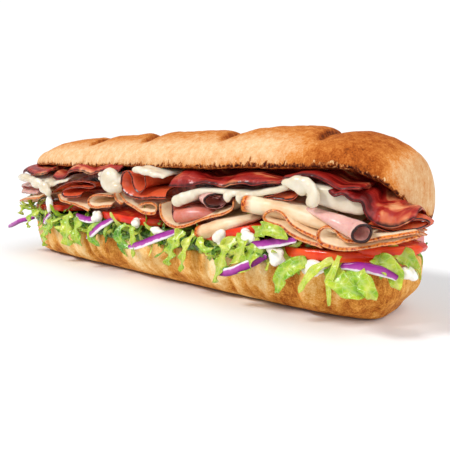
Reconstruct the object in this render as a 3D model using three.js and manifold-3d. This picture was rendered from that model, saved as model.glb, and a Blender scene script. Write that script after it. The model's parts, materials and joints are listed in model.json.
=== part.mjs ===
// A 30 cm submarine sandwich: a split roll around lettuce, onion, tomato, folded turkey and ham,
// melted cheese and bacon. Millimetres, +Z up. The loaf runs along X, its open front faces -Y,
// and the origin is on the ground under the middle of the heel.

import * as THREE from 'three';
import { mergeVertices } from 'three/addons/utils/BufferGeometryUtils.js';
import Module from 'manifold-3d';

const wasm = await Module();
wasm.setup();

// Driving dimensions of the roll.
const CROWN_HALF_LENGTH = 154;
const HEEL_HALF_LENGTH = 149;
const BASE_HALF_LENGTH = 138;
const ROLL_HALF_WIDTH = 37;
const BASE_HALF_WIDTH = 14;
const HEEL_HEIGHT = 26;
const LIP_HEIGHT = 71.2;
const RIDGE_HEIGHT = 93;
const END_SAG = 14;
const PLAN_POWER = 4.6;
const CROWN_END_POWER = 5.2;
const CROWN_SECTION_POWER = 1.95;
const CUT_FACE_ARCH = 4.5;
const SCORES = [-83, -28, 41, 104];
const SCORE_DEPTH = 3.2;
const SCORE_RISE = 22;
const FAR_SCORE_SLANT = -0.5;
const NEAR_SCORE_SLANT = -0.2;
const SLANT_CHANGE = [-30, 110];
const HEEL_STEPS = 26;

// Driving dimensions of the filling.
const FILLING_HALF_LENGTH = 162;
const FILLING_HALF_WIDTH = 40;
const HEAP_HEIGHT = 35;
const HEAP_HALF_WIDTH = 42.6;
const TURKEY_THICKNESS = 1.8;
const HAM_THICKNESS = 1.7;
const CHEESE_THICKNESS = 2.4;
const BACON_THICKNESS = 2.2;
const BACON_DROOP = 2.5;
const TOMATO_THICKNESS = 4.6;
const ONION_THICKNESS = 2.2;
const ONION_WIDTH = 3.4;
const ONION_CORNER = 0.6;

// Clearance left between pieces that touch in the real sandwich.
const GAP = 0.35;

const CRUST = { color: 0xd9974f, roughness: 0.85 };
const LETTUCE = { color: 0x9dbb4a, roughness: 0.5 };
const TOMATO = { color: 0xc9341d, roughness: 0.25 };
const ONION = { color: 0xa9558f, roughness: 0.3 };
const SAUCE = { color: 0xf6f0e0, roughness: 0.25 };
const TURKEY = { color: 0xe9c9a0, roughness: 0.45 };
const HAM = { color: 0xd08a80, roughness: 0.4 };
const CHEESE = { color: 0xf3e6c8, roughness: 0.3 };
const BACON = { color: 0x8c2f1e, roughness: 0.35 };

const sandwich = new THREE.Group();

// A slow irregular wave between -1 and 1, different for each seed.
function waver(position, seed) {
  return 0.6 * Math.sin(position / 17 + seed * 2.1) + 0.4 * Math.sin(position / 7.3 + seed * 5.7);
}

// Half width of a round-ended bar at a place along it, as a share of its full half width.
function endTaper(position, halfLength, power) {
  const reach = Math.min(Math.abs(position) / halfLength, 1);
  return (1 - reach ** power) ** (1 / power);
}

// Places along a bar from -1 to 1, closer together towards both ends.
function stations(count) {
  const crowding = 2.2;
  const last = 0.988;
  const places = [];
  for (let index = 0; index <= count; index += 1) {
    const even = last * ((2 * index) / count - 1);
    places.push(Math.sign(even) * (1 - (1 - Math.abs(even)) ** crowding));
  }
  return places;
}

// The solid with these vertices and triangles, turned right side out.
function solidFrom(points, faces) {
  let volume = 0;
  for (const [a, b, c] of faces) {
    volume += points[a].dot(new THREE.Vector3().crossVectors(points[b], points[c]));
  }
  const turned = volume < 0 ? faces.map(([a, b, c]) => [a, c, b]) : faces;
  return new wasm.Manifold(new wasm.Mesh({
    numProp: 3,
    vertProperties: new Float32Array(points.flatMap((point) => point.toArray())),
    triVerts: new Uint32Array(turned.flat()),
  }));
}

// Skins a row of closed loops of equal size. Each end is closed by a strip between facing points.
function loft(loops) {
  const size = loops[0].length;
  const faces = [];
  for (let loop = 0; loop < loops.length - 1; loop += 1) {
    for (let point = 0; point < size; point += 1) {
      const next = (point + 1) % size;
      const a = loop * size + point;
      const b = loop * size + next;
      faces.push([a, b, b + size], [a, b + size, a + size]);
    }
  }
  const top = (loops.length - 1) * size;
  for (let near = 0; near < size / 2 - 1; near += 1) {
    const far = size - 1 - near;
    faces.push([near + 1, near, far], [near + 1, far, far - 1]);
    faces.push([top + near, top + near + 1, top + far], [top + near + 1, top + far - 1, top + far]);
  }
  return solidFrom(loops.flat(), faces);
}

function solidFromGeometry(geometry) {
  geometry.deleteAttribute('normal');
  geometry.deleteAttribute('uv');
  const merged = mergeVertices(geometry, 1e-4);
  const places = merged.getAttribute('position');
  const points = [];
  for (let index = 0; index < places.count; index += 1) {
    points.push(new THREE.Vector3().fromBufferAttribute(places, index));
  }
  const faces = [];
  for (let index = 0; index < merged.index.count; index += 3) {
    faces.push([0, 1, 2].map((corner) => merged.index.getX(index + corner)));
  }
  return solidFrom(points, faces);
}

// The pieces already laid, each with its box and the slightly larger solid that later ones are cut by.
const laid = [];

function boxOf(solid) {
  const { min, max } = solid.boundingBox();
  return new THREE.Box3(new THREE.Vector3(...min), new THREE.Vector3(...max));
}

// Adds a piece. It is first cut back where pieces laid before it already are.
function lay(name, make, look) {
  let solid = make(0);
  const box = boxOf(solid);
  for (const other of laid) {
    if (box.intersectsBox(other.box)) {
      solid = solid.subtract(other.grown);
    }
  }
  const parts = solid.decompose();
  parts.sort((a, b) => b.volume() - a.volume());
  const mesh = parts[0].getMesh();
  const geometry = new THREE.BufferGeometry();
  geometry.setAttribute('position', new THREE.BufferAttribute(mesh.vertProperties, 3));
  geometry.setIndex(new THREE.BufferAttribute(mesh.triVerts, 1));
  const node = new THREE.Mesh(geometry, new THREE.MeshStandardMaterial({ metalness: 0, ...look }));
  node.name = name;
  sandwich.add(node);
  const grown = make(GAP);
  laid.push({ grown, box: boxOf(grown) });
}

// ---- Bread: the lower half, flat underneath, with full rounded sides up to its rim ----

function rimHeight(x) {
  return HEEL_HEIGHT + 4 * (x / HEEL_HALF_LENGTH) ** 4 + 0.5 * waver(x, 1);
}

function planLoop(halfLength, halfWidth, heightAt, count, unevenness = 0, seed = 0) {
  const front = stations(count).map((place) => {
    const x = place * halfLength;
    const bulge = 1 + unevenness * waver(x * 2, seed);
    return new THREE.Vector3(x, -halfWidth * endTaper(place, 1, PLAN_POWER) * bulge, heightAt(x));
  });
  const back = front.map((point) => {
    const bulge = 1 + unevenness * waver(point.x * 2, seed + 3);
    return new THREE.Vector3(point.x, -point.y * bulge, heightAt(-point.x));
  });
  return front.concat(back.reverse());
}

function heel(extra) {
  const sideSteps = 6;
  const wallPower = 2 / 2.3;
  const wallHeight = 20;
  const loops = [];
  for (let step = 0; step <= sideSteps; step += 1) {
    const angle = (step / sideSteps) * (Math.PI / 2);
    const out = Math.sin(angle) ** wallPower;
    const up = wallHeight * (1 - Math.cos(angle) ** wallPower);
    const halfLength = THREE.MathUtils.lerp(BASE_HALF_LENGTH, HEEL_HALF_LENGTH, out) + extra;
    const halfWidth = THREE.MathUtils.lerp(BASE_HALF_WIDTH, ROLL_HALF_WIDTH, out) + extra;
    loops.push(planLoop(halfLength, halfWidth, () => up - extra, HEEL_STEPS));
  }
  const shoulderInset = 0.4;
  const rimInset = 2.2;
  for (const [inset, below] of [[shoulderInset, 1.5], [rimInset, 0]]) {
    const halfLength = HEEL_HALF_LENGTH - inset + extra;
    const halfWidth = ROLL_HALF_WIDTH - inset + extra;
    loops.push(planLoop(halfLength, halfWidth, (x) => rimHeight(x) - below + extra, HEEL_STEPS));
  }
  return loft(loops);
}

// ---- Bread: the upper half, scored four times across the ridge, its near end sagging ----

function lipHeight(x) {
  const sag = THREE.MathUtils.smoothstep(x, 118, 170);
  return LIP_HEIGHT - END_SAG * sag + 0.5 * waver(x, 4);
}

// How far a score drops the crust: steep on its far side, rising slowly into the next lobe.
function scoreDrop(x, across) {
  const fade = 1 - THREE.MathUtils.smoothstep(Math.abs(across), 0.45, 0.85);
  let drop = 0;
  for (const score of SCORES) {
    const past = x - score;
    if (past >= 0 && past < SCORE_RISE) {
      drop = Math.max(drop, SCORE_DEPTH * (1 - past / SCORE_RISE) ** 1.6);
    }
    if (past < 0 && past > -4) {
      drop = Math.max(drop, 0.25 * SCORE_DEPTH * (1 + past / 4));
    }
  }
  return drop * fade;
}

function crownStations() {
  const scoreOffsets = [-4, -0.3, 0.5, 8];
  const nearScores = SCORES.flatMap((score) => scoreOffsets.map((offset) => score + offset));
  const even = stations(26).map((place) => place * CROWN_HALF_LENGTH);
  const clear = even.filter((x) => nearScores.every((other) => Math.abs(other - x) > 3));
  return clear.concat(nearScores).sort((a, b) => a - b);
}

function crown(extra) {
  const archSteps = 10;
  const faceSteps = 2;
  const crustEdge = 0.8;
  const loops = crownStations().map((station) => {
    const place = station / CROWN_HALF_LENGTH;
    const halfWidth = ROLL_HALF_WIDTH * endTaper(place, 1, PLAN_POWER) + extra;
    const nearEnd = 1 - 0.1 * THREE.MathUtils.smoothstep(station, 96, 128);
    const height = (RIDGE_HEIGHT - LIP_HEIGHT) * nearEnd * endTaper(place, 1, CROWN_END_POWER) + extra;
    const nearness = THREE.MathUtils.smoothstep(station, ...SLANT_CHANGE);
    const slant = THREE.MathUtils.lerp(FAR_SCORE_SLANT, NEAR_SCORE_SLANT, nearness) * (1 - place ** 4);
    const x = station + Math.sign(place) * extra;
    const loop = [];
    for (let step = 0; step <= archSteps; step += 1) {
      const angle = (step / archSteps) * Math.PI;
      const across = Math.sign(Math.cos(angle)) * Math.abs(Math.cos(angle)) ** (2 / CROWN_SECTION_POWER);
      const rise = height * Math.max(Math.sin(angle), 0) ** (2 / CROWN_SECTION_POWER);
      const y = -halfWidth * across;
      const low = extra * Math.abs(Math.cos(angle));
      const z = lipHeight(station) + rise - low - scoreDrop(station, across);
      loop.push(new THREE.Vector3(x + slant * y, y, z + 0.4 * waver(station * 2, step)));
    }
    for (let step = 0; step <= faceSteps; step += 1) {
      const across = 1 - (2 * step) / faceSteps;
      const y = (halfWidth - crustEdge) * across;
      const z = lipHeight(station) - crustEdge - extra + CUT_FACE_ARCH * (1 - across ** 2);
      loop.push(new THREE.Vector3(x + slant * y, y, z));
    }
    return loop;
  });
  return loft(loops);
}

// ---- Filling: slices folded or rolled across the loaf, each given by its front edge ----

function fillingFront(x) {
  return -FILLING_HALF_WIDTH * endTaper(x, FILLING_HALF_LENGTH, PLAN_POWER);
}

const STRAIGHT = [[1, 0], [-1, 0]];
const DROOPING = [[1, 0], [0.72, BACON_DROOP], [-0.72, BACON_DROOP], [-1, 0]];

// A slice whose front edge runs through the given [x, z, thickness] places and is carried through
// the loaf. Rows are its places across, as shares of the half width with a height offset each.
function foldedSlice(edge, extra, { thickness, steps, seed, rows = STRAIGHT, front = fillingFront }) {
  const knots = edge.map(([x, z, own]) => new THREE.Vector3(x, own ?? thickness, z));
  const curve = new THREE.CatmullRomCurve3(knots, false, 'centripetal');
  const centres = curve.getSpacedPoints(steps);
  const outer = [];
  const inner = [];
  centres.forEach((centre, index) => {
    const before = centres[Math.max(index - 1, 0)];
    const after = centres[Math.min(index + 1, steps)];
    const along = new THREE.Vector2(after.x - before.x, after.z - before.z).normalize();
    const half = centre.y / 2 + extra;
    const ending = (index === 0 ? -extra : 0) + (index === steps ? extra : 0);
    const x = centre.x + along.x * ending;
    const z = centre.z + along.y * ending;
    const unevenness = 1.2 * waver(index * 9, seed) + extra;
    outer.push({ x: x - along.y * half, z: z + along.x * half, unevenness });
    inner.push({ x: x + along.y * half, z: z - along.x * half, unevenness });
  });
  const section = outer.concat(inner.reverse());
  const loops = rows.map(([share, rise]) => section.map(({ x, z, unevenness }) => (
    new THREE.Vector3(x, share * (front(x) - unevenness), z + rise)
  )));
  return loft(loops);
}

// ---- Bacon: five wavy rashers right under the crown ----

const BACON_EDGES = [
  [[-153, 63.5], [-143, 65.8], [-130, 64.2], [-115, 63.6], [-101, 65]],
  [[-96, 62.2], [-89, 60.8], [-82, 61.6], [-75, 65], [-67, 67], [-58, 66.8], [-50, 65.4], [-42, 66.6],
    [-32, 67.6], [-18, 67.4]],
  [[23.5, 66], [26, 63.2], [31, 61.4], [39, 62.6], [48, 64], [55, 64.2], [61, 62.8], [72, 62.2], [86, 61.8]],
  [[69, 65], [74, 66.8], [81, 67.4], [89, 66.8], [97, 65.2], [103, 66.6], [109, 67.6], [115, 67.4],
    [121, 65.2], [130, 63.4], [141, 62.8]],
  [[124, 61.4], [128, 60.4], [132, 60.8], [137, 59], [143, 58.8], [149, 56.6], [154.5, 52.4], [157.5, 47.6]],
];

// ---- Cheese: melted slices that end in thick soft lumps ----

const CHEESE_EDGES = [
  [[-153, 58, 3], [-143, 58.6, 3.6], [-130, 58.6], [-114, 58.2], [-98, 56.8]],
  [[-37.5, 61, 2.6], [-32, 61.2, 7.6], [-25, 61.2, 9.2], [-18.6, 61.8, 6.6], [-14.8, 63, 2.6]],
  [[12.6, 67.4], [16.5, 66.6], [21, 65.2]],
  [[29.6, 55.4, 2.4], [33.5, 55, 6.6], [39, 55, 7.2], [45, 56.6, 4.4], [52, 58.4, 2.6], [66, 58.8, 2.8],
    [80, 58.8, 2.8], [87, 59.6]],
  [[106.5, 64.4], [111, 63.8, 3.8], [115, 61.6, 4.8], [118.6, 58.6, 4.2], [124, 56.8, 3.4], [131, 55.8, 3.2],
    [138, 54.2, 3], [143, 52.2], [147, 49.8, 2]],
];

// ---- Ham: folded and rolled slices ----

const HAM_EDGES = [
  [[-112, 49.8], [-134, 48.8], [-152, 49.2], [-156.4, 51.4], [-152, 53.6], [-134, 54.6], [-116, 55.2]],
  [[-96, 51], [-85, 55.8], [-73, 59], [-57, 60.2], [-46, 60], [-40.4, 58.4], [-46, 56.6], [-58, 56.2],
    [-72, 55], [-80.4, 53.2], [-82, 50.8], [-78, 49], [-68, 49], [-57, 50.6]],
  [[8.6, 67.6], [9.6, 63.5], [9.6, 60], [7.4, 57], [4, 55.8], [0.8, 57], [-1.8, 60.5], [-3, 64.6], [-5.4, 68],
    [-8.6, 67.8], [-11.6, 65], [-12.8, 61], [-11.4, 57.2], [-6.4, 53.8], [0, 52.4], [8, 52.4], [18, 53.4],
    [27, 53.6]],
  [[29.2, 51], [29.6, 46.4], [30.6, 42.6], [32.2, 41], [34, 42.8], [35.6, 46.6], [39, 49], [45, 49.4],
    [51.5, 47.8]],
  [[64, 55.6], [59.5, 56.4], [54, 55.6], [52.8, 53.2], [54.6, 51], [59.5, 50.4], [65, 51.4], [66.8, 53.6]],
  [[89.6, 58], [95, 59], [99.4, 61.4], [103, 62], [104.8, 60.2], [103, 57.8], [98.5, 56.9], [94, 56.7]],
  [[108, 54.4], [120, 53], [131, 52.4], [138.4, 51], [141.6, 48.8], [146, 47.4], [150, 45.8], [155, 45.6],
    [158, 47.4]],
];

// ---- Turkey: folded and rolled slices under the ham ----

const TURKEY_EDGES = [
  [[-162, 38], [-158, 40.8], [-148, 42.6], [-132, 44.8], [-119, 46], [-106, 46.8]],
  [[-89, 50], [-87, 46.6], [-78, 45], [-66, 43.8], [-57, 42.4], [-50.5, 41]],
  [[-24, 52], [-32, 52.2], [-43, 51.8], [-49.6, 49.4], [-50.8, 46.2], [-47, 44], [-36, 44.4], [-25, 46]],
  [[-15, 47.6], [-19.8, 50], [-21.6, 53], [-19.4, 55.4], [-16.4, 54.4], [-13, 51.2], [-8, 48.2], [-1, 45.6],
    [6, 44], [12.6, 43.4], [16.8, 45], [17, 47.8], [13, 49.6], [6, 49.2], [1, 48]],
  [[20, 50.4], [20.4, 46], [22.4, 41.8], [27, 38.9], [33, 37.9], [39, 38.7], [46, 41], [54, 44.4], [63, 46.8],
    [70, 48.8], [73.4, 51.8], [74, 55]],
  [[77, 46.6], [68, 44.2], [58, 41.6], [51, 39.2], [48.8, 36.6], [51.4, 34.4], [57, 35.6], [63.5, 38.8],
    [70, 41.2], [76, 43]],
  [[122, 49.8], [110, 52], [100, 53.8], [90, 55.2], [83, 55.4], [78.4, 53.4], [78.2, 51], [82, 49.2],
    [88, 49.8], [94, 51], [100, 50.6], [106, 48.8], [112, 47.2], [120, 46.2], [132, 45]],
  [[117, 41], [112, 42], [106, 44.6], [101, 47.2], [96, 48.4], [92.2, 47.6], [91.4, 45.9], [94, 44.8],
    [98, 44], [103, 42], [109, 39.4], [116, 37.4]],
  [[156, 43.4], [147, 42.6], [139, 41.8], [132.5, 42.2], [127, 43.6], [122.4, 42.8], [120.4, 39.8], [121.2, 37],
    [126, 36], [132, 36.8], [139, 38.4], [146, 39.6], [154, 40.2]],
];

// ---- Tomato: thick round slices, leaning on each other ----

const TOMATO_EDGES = [
  [[-156, 37.4], [-138, 37.8], [-104, 39], [-82, 39.8]],
  [[-50, 39], [-36, 39.4], [0, 38.4], [17, 37.6]],
  [[40, 33.6], [60, 34.4], [84, 38.6], [100, 40.4]],
  [[78, 31.2], [94, 32], [120, 32.4], [136, 33.4]],
  [[136, 34.6], [144, 35.6], [150, 36.4], [157, 37]],
];

// The round outline of a tomato slice that reaches between two places along the loaf.
function tomatoFront(x, farEnd, nearEnd, extra) {
  const roundness = 3;
  const overhang = 2 + 3 * extra;
  const halfLength = (nearEnd - farEnd) / 2 + overhang;
  const round = endTaper(x - (nearEnd + farEnd) / 2, halfLength, roundness);
  return fillingFront(x) * Math.max(round, 0.2);
}

// ---- Onion: slivers that lie across the front of the lettuce, given by [x, out, z] places ----

const ONION_ROUTES = [
  [[-164, 41, 20.5], [-150, 43, 24.5], [-137, 43, 28.5], [-124, 40, 31]],
  [[-97, 42, 36], [-101, 43.6, 32.5], [-103.5, 43.4, 28]],
  [[-64, 41.4, 37.6], [-54, 43.8, 36.4], [-45, 43.8, 36], [-36, 41.4, 36.8]],
  [[-49, 44, 24], [-40, 46, 28], [-31, 46, 33.5], [-22, 42.4, 38.4]],
  [[-5, 44.6, 23], [7, 46.4, 26], [22, 46.2, 31.6], [36, 42, 36.8]],
  [[65, 44.4, 18], [76, 46.6, 21], [86, 46.8, 25.6], [95, 43, 30.6]],
  [[82, 42.6, 33.8], [91, 44.6, 35.6], [100, 44.4, 37.6], [110, 41.6, 39.6]],
  [[132, 42, 31], [140, 40.4, 31.4], [147, 36.6, 30.2], [152, 31, 27]],
];

function onionSliver(route, extra) {
  const path = new THREE.CatmullRomCurve3(route.map(([x, out, z]) => new THREE.Vector3(x, -out, z)));
  const halfWidth = ONION_WIDTH / 2 + extra;
  const halfThickness = ONION_THICKNESS / 2 + extra;
  const section = new THREE.Shape();
  section.moveTo(-halfThickness, -halfWidth + ONION_CORNER);
  section.lineTo(-halfThickness + ONION_CORNER, -halfWidth);
  section.lineTo(halfThickness, -halfWidth + ONION_CORNER);
  section.lineTo(halfThickness, halfWidth - ONION_CORNER);
  section.lineTo(halfThickness - ONION_CORNER, halfWidth);
  section.lineTo(-halfThickness, halfWidth - ONION_CORNER);
  return solidFromGeometry(new THREE.ExtrudeGeometry(section, { steps: 6, extrudePath: path }));
}

// ---- Sauce: lumps on the lettuce, given by [x, out, z, radii along, across and up] ----

const DOLLOPS = [
  [-97, 43.6, 44, 2.6, 2.2, 8.5],
  [-38, 44, 38.6, 5.2, 2.8, 4.2],
  [0, 44.4, 37.6, 4.4, 2.6, 3],
  [19, 44.4, 34.6, 5, 2.6, 3],
  [64, 44.6, 37.6, 5.4, 2.8, 4.6],
  [83, 44, 38.6, 5.4, 2.8, 4],
  [100, 44.4, 31.4, 5, 3, 5],
  [119, 43.6, 30, 8, 2.8, 3.4],
  [154, 28, 28.4, 4, 3.6, 3.2],
];

function dollop([x, out, z, along, across, up], extra, seed) {
  const geometry = new THREE.SphereGeometry(1, 8, 5);
  const places = geometry.getAttribute('position');
  for (let index = 0; index < places.count; index += 1) {
    const point = new THREE.Vector3().fromBufferAttribute(places, index);
    const lump = 1 + 0.12 * Math.sin(3 * point.x + seed) * Math.cos(4 * point.z + seed);
    point.multiply(new THREE.Vector3(along * lump + extra, across * lump + extra, up * lump + extra));
    places.setXYZ(index, x + point.x, point.y - out, z + point.z);
  }
  return solidFromGeometry(geometry);
}

// ---- Lettuce: one shredded heap that fills the heel and hangs over its rim ----

function lettuceHeap(extra) {
  const hem = (x) => 16 + 5 * waver(x * 1.7, 2);
  const shelves = [
    { inset: 14, height: (x) => hem(x) + 3 },
    { inset: 4.2, height: hem },
    { inset: 0.6, height: (x) => 0.5 * (hem(x) + HEAP_HEIGHT - 6) },
    { inset: 0.8, height: (x) => HEAP_HEIGHT - 2 + 1.5 * waver(x * 2, 6) },
    { inset: 7, height: (x) => HEAP_HEIGHT + 0.8 * waver(x * 2, 8) },
  ];
  return loft(shelves.map(({ inset, height }, index) => planLoop(
    FILLING_HALF_LENGTH - 3 - inset * 0.8 + extra,
    HEAP_HALF_WIDTH - inset + extra,
    height,
    18,
    0.03,
    index,
  )));
}

// ---- Assembly, from the pieces that keep their whole shape to those that give way ----

lay('bread_heel', heel, CRUST);
lay('bread_crown', crown, CRUST);
BACON_EDGES.forEach((edge, index) => {
  const sizes = { thickness: BACON_THICKNESS, steps: 14, seed: index + 1, rows: DROOPING };
  lay(`bacon_strip_${index + 1}`, (extra) => foldedSlice(edge, extra, sizes), BACON);
});
CHEESE_EDGES.forEach((edge, index) => {
  const sizes = { thickness: CHEESE_THICKNESS, steps: 12, seed: index + 11 };
  lay(`cheese_slice_${index + 1}`, (extra) => foldedSlice(edge, extra, sizes), CHEESE);
});
HAM_EDGES.forEach((edge, index) => {
  const sizes = { thickness: HAM_THICKNESS, steps: edge.length * 2 - 2, seed: index + 21 };
  lay(`ham_slice_${index + 1}`, (extra) => foldedSlice(edge, extra, sizes), HAM);
});
TURKEY_EDGES.forEach((edge, index) => {
  const sizes = { thickness: TURKEY_THICKNESS, steps: edge.length * 2 - 2, seed: index + 31 };
  lay(`turkey_slice_${index + 1}`, (extra) => foldedSlice(edge, extra, sizes), TURKEY);
});
TOMATO_EDGES.forEach((edge, index) => {
  const farEnd = edge[0][0];
  const nearEnd = edge[edge.length - 1][0];
  const make = (extra) => {
    const front = (x) => tomatoFront(x, farEnd, nearEnd, extra);
    const sizes = { thickness: TOMATO_THICKNESS, steps: 10, seed: index + 41, front };
    return foldedSlice(edge, extra, sizes);
  };
  lay(`tomato_slice_${index + 1}`, make, TOMATO);
});
ONION_ROUTES.forEach((route, index) => {
  lay(`onion_sliver_${index + 1}`, (extra) => onionSliver(route, extra), ONION);
});
DOLLOPS.forEach((place, index) => {
  lay(`sauce_dollop_${index + 1}`, (extra) => dollop(place, extra, index), SAUCE);
});
lay('lettuce_heap', lettuceHeap, LETTUCE);

export default sandwich;
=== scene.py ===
import json
import math
import random

import bmesh
import bpy
import numpy as np
from mathutils import Matrix, Vector, noise

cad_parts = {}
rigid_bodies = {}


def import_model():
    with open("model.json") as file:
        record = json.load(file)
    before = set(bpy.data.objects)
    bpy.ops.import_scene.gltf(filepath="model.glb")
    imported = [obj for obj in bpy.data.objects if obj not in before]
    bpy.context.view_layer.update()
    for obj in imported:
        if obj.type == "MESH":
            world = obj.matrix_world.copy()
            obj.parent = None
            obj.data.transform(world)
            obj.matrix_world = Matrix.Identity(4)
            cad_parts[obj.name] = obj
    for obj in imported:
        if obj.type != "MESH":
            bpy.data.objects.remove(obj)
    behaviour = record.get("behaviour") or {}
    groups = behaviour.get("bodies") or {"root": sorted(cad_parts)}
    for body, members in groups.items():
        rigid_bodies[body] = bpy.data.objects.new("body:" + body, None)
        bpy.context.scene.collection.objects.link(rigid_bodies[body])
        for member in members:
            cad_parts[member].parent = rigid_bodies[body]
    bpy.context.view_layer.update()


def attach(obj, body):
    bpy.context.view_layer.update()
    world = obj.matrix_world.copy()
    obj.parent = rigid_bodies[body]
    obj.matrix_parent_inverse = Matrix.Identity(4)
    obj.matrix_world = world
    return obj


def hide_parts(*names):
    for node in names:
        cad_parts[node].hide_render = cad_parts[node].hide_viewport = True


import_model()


# ---- The studio ----
# A seamless white sheet that the sandwich stands on, in an evenly lit white room.
# One broad soft lamp stands in front on the left and a second fills from above.
MM = 0.001
SHEET_HALF = 6.0
CAMERA_PLACE = (224.2, -224.45, 75.96)
CAMERA_TARGET = (32.5, 0, 35)
CAMERA_LENS = 38.8


def linear(hex_colour):
    """An sRGB hex colour as the linear colour that Blender's sockets take."""
    parts = [int(hex_colour[start:start + 2], 16) / 255 for start in (1, 3, 5)]
    return tuple(p / 12.92 if p <= 0.04045 else ((p + 0.055) / 1.055) ** 2.4 for p in parts) + (1.0,)


def add(tree, kind, inputs=(), stops=(), **settings):
    """Adds one node to a tree. An input takes a plain value, a socket, or a node for its first output,
    and goes by its name, or by its number where inputs share a name."""
    node = tree.nodes.new(kind)
    for setting, value in settings.items():
        setattr(node, setting, value)
    for name, value in dict(inputs).items():
        if isinstance(value, bpy.types.Node):
            value = value.outputs[0]
        if isinstance(value, bpy.types.NodeSocket):
            tree.links.new(value, node.inputs[name])
        else:
            node.inputs[name].default_value = value
    for index, (position, colour) in enumerate(stops):
        elements = node.color_ramp.elements
        element = elements[index] if index < 2 else elements.new(position)
        element.position = position
        element.color = linear(colour)
    return node


def finish_of(name, *marks):
    """A new material, its empty tree, the object's own coordinates, and these marks from its points."""
    material = bpy.data.materials.new(name)
    material.use_nodes = True
    tree = material.node_tree
    tree.nodes.clear()
    places = add(tree, "ShaderNodeTexCoord").outputs["Object"]
    kept = [add(tree, "ShaderNodeAttribute", attribute_name=mark).outputs["Fac"] for mark in marks]
    return material, tree, places, *kept


def lay_on(tree, surface):
    """Ends a material's tree with one shader that takes these values and links."""
    shader = add(tree, "ShaderNodeBsdfPrincipled", surface)
    add(tree, "ShaderNodeOutputMaterial", {"Surface": shader})


scene = bpy.context.scene
scene.view_settings.view_transform = "Standard"

camera_data = bpy.data.cameras.new("camera")
camera_data.lens = CAMERA_LENS
camera = bpy.data.objects.new("camera", camera_data)
camera.location = Vector(CAMERA_PLACE) * MM
camera.rotation_euler = (Vector(CAMERA_TARGET) - Vector(CAMERA_PLACE)).to_track_quat("-Z", "Y").to_euler()
scene.collection.objects.link(camera)
scene.camera = camera

# White paper sheet: matte, so that it takes only a soft shadow.
paper, tree, places = finish_of("white_paper_sheet")
fibres = add(tree, "ShaderNodeTexNoise", {"Vector": places, "Scale": 900.0, "Detail": 3.0})
bump = add(tree, "ShaderNodeBump", {"Height": fibres, "Strength": 0.05, "Distance": 0.0002})
lay_on(tree, {
    "Base Color": linear("#f7f7f8"), "Normal": bump, "Roughness": 0.9, "Specular IOR Level": 0.1})

sheet_mesh = bpy.data.meshes.new("floor")
sheet_corners = [(-1, -1), (1, -1), (1, 1), (-1, 1)]
sheet_mesh.from_pydata([(SHEET_HALF * x, SHEET_HALF * y, 0) for x, y in sheet_corners], [], [(0, 1, 2, 3)])
sheet_mesh.materials.append(paper)
floor = bpy.data.objects.new("floor", sheet_mesh)
scene.collection.objects.link(floor)

# The room lights evenly and softly, and is seen as plain white behind the sheet.
ROOM_STRENGTH = 0.46
SEEN_STRENGTH = 1.05
WHITE = (1, 1, 1, 1)
room = bpy.data.worlds.new("white_room")
room.use_nodes = True
room_tree = room.node_tree
room_light = room_tree.nodes["Background"]
room_light.inputs["Color"].default_value = WHITE
room_light.inputs["Strength"].default_value = ROOM_STRENGTH
seen_white = add(room_tree, "ShaderNodeBackground", {"Color": WHITE, "Strength": SEEN_STRENGTH})
seen = add(room_tree, "ShaderNodeLightPath").outputs["Is Camera Ray"]
seen_room = add(room_tree, "ShaderNodeMixShader", {0: seen, 1: room_light, 2: seen_white})
room_tree.links.new(seen_room.outputs[0], room_tree.nodes["World Output"].inputs["Surface"])
scene.world = room

# Each lamp shines from this direction, at this strength, and is this many degrees wide.
LAMPS = {
    "key_lamp": ((-0.5, -0.95, 0.95), 1.95, 13),
    "top_lamp": ((0.9, -0.2, 0.95), 1.45, 60),
}
for lamp_name, (lamp_place, lamp_strength, lamp_width) in LAMPS.items():
    lamp_data = bpy.data.lights.new(lamp_name, "SUN")
    lamp_data.energy = lamp_strength
    lamp_data.angle = math.radians(lamp_width)
    lamp = bpy.data.objects.new(lamp_name, lamp_data)
    lamp.location = lamp_place
    lamp.rotation_euler = (-Vector(lamp_place)).to_track_quat("-Z", "Y").to_euler()
    scene.collection.objects.link(lamp)


# ---- The crown of the roll ----
# The upper half of a soft white 30 cm roll, baked until golden and split along its middle. It is
# scored four times across its ridge, sags at the near end, and rests its cut face on the filling.
CROWN_NEAR_END = 152
CROWN_FAR_END = 151
ROLL_HALF_WIDTH = 37
LIP_HEIGHT = 71.2
RIDGE_HEIGHT = 93
LIP_TO_RIDGE = 26
PLAN_POWER = 4.6
# The rings at both ends of the roll lie at this share of the way to its very tips.
LAST_RING = 0.9995
# The lip and the ridge towards the near end, as places along, across and up.
CROWN_NEAR_LIP = [(0, 0, 71.2), (118, 0, 71.7), (126, 0, 71.7), (134, 0, 70.0), (142, 0, 66.2),
                  (147.5, 0, 60.6), (150.5, 0, 55.5), (152, 0, 48)]
CROWN_NEAR_RIDGE = [(0, 0, 92.2), (60, 0, 92.4), (90, 0, 92.2), (110, 0, 90.4), (125, 0, 88.0),
                    (136, 0, 84.6), (143, 0, 80.8), (148, 0, 76.4), (151, 0, 69), (152, 0, 58)]
CROWN_RINGS = 430
CROWN_POINTS = 112
CUT_FACE_POINTS = 26
CROWN_NEAR_PLAN_POWER = 4.0
CROWN_FAR_POWER = 3.2
CROWN_SECTION_POWER = 1.95
CUT_FACE_ARCH = 9.0
SCORES = (-83, -28, 41, 104)
SCORE_DEPTH = 4.6
SCORE_RISE = 22
SCORE_LIP = 6
SCORE_SLANT = -0.5


def waver(position, seed):
    """A slow irregular wave between -1 and 1, different for each seed."""
    return 0.6 * np.sin(position / 17 + seed * 2.1) + 0.4 * np.sin(position / 7.3 + seed * 5.7)


def end_taper(share, power):
    """Half width of a round-ended bar at a share of its half length, as a share of its full half width."""
    return (1 - np.minimum(np.abs(share), 1) ** power) ** (1 / power)


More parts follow.
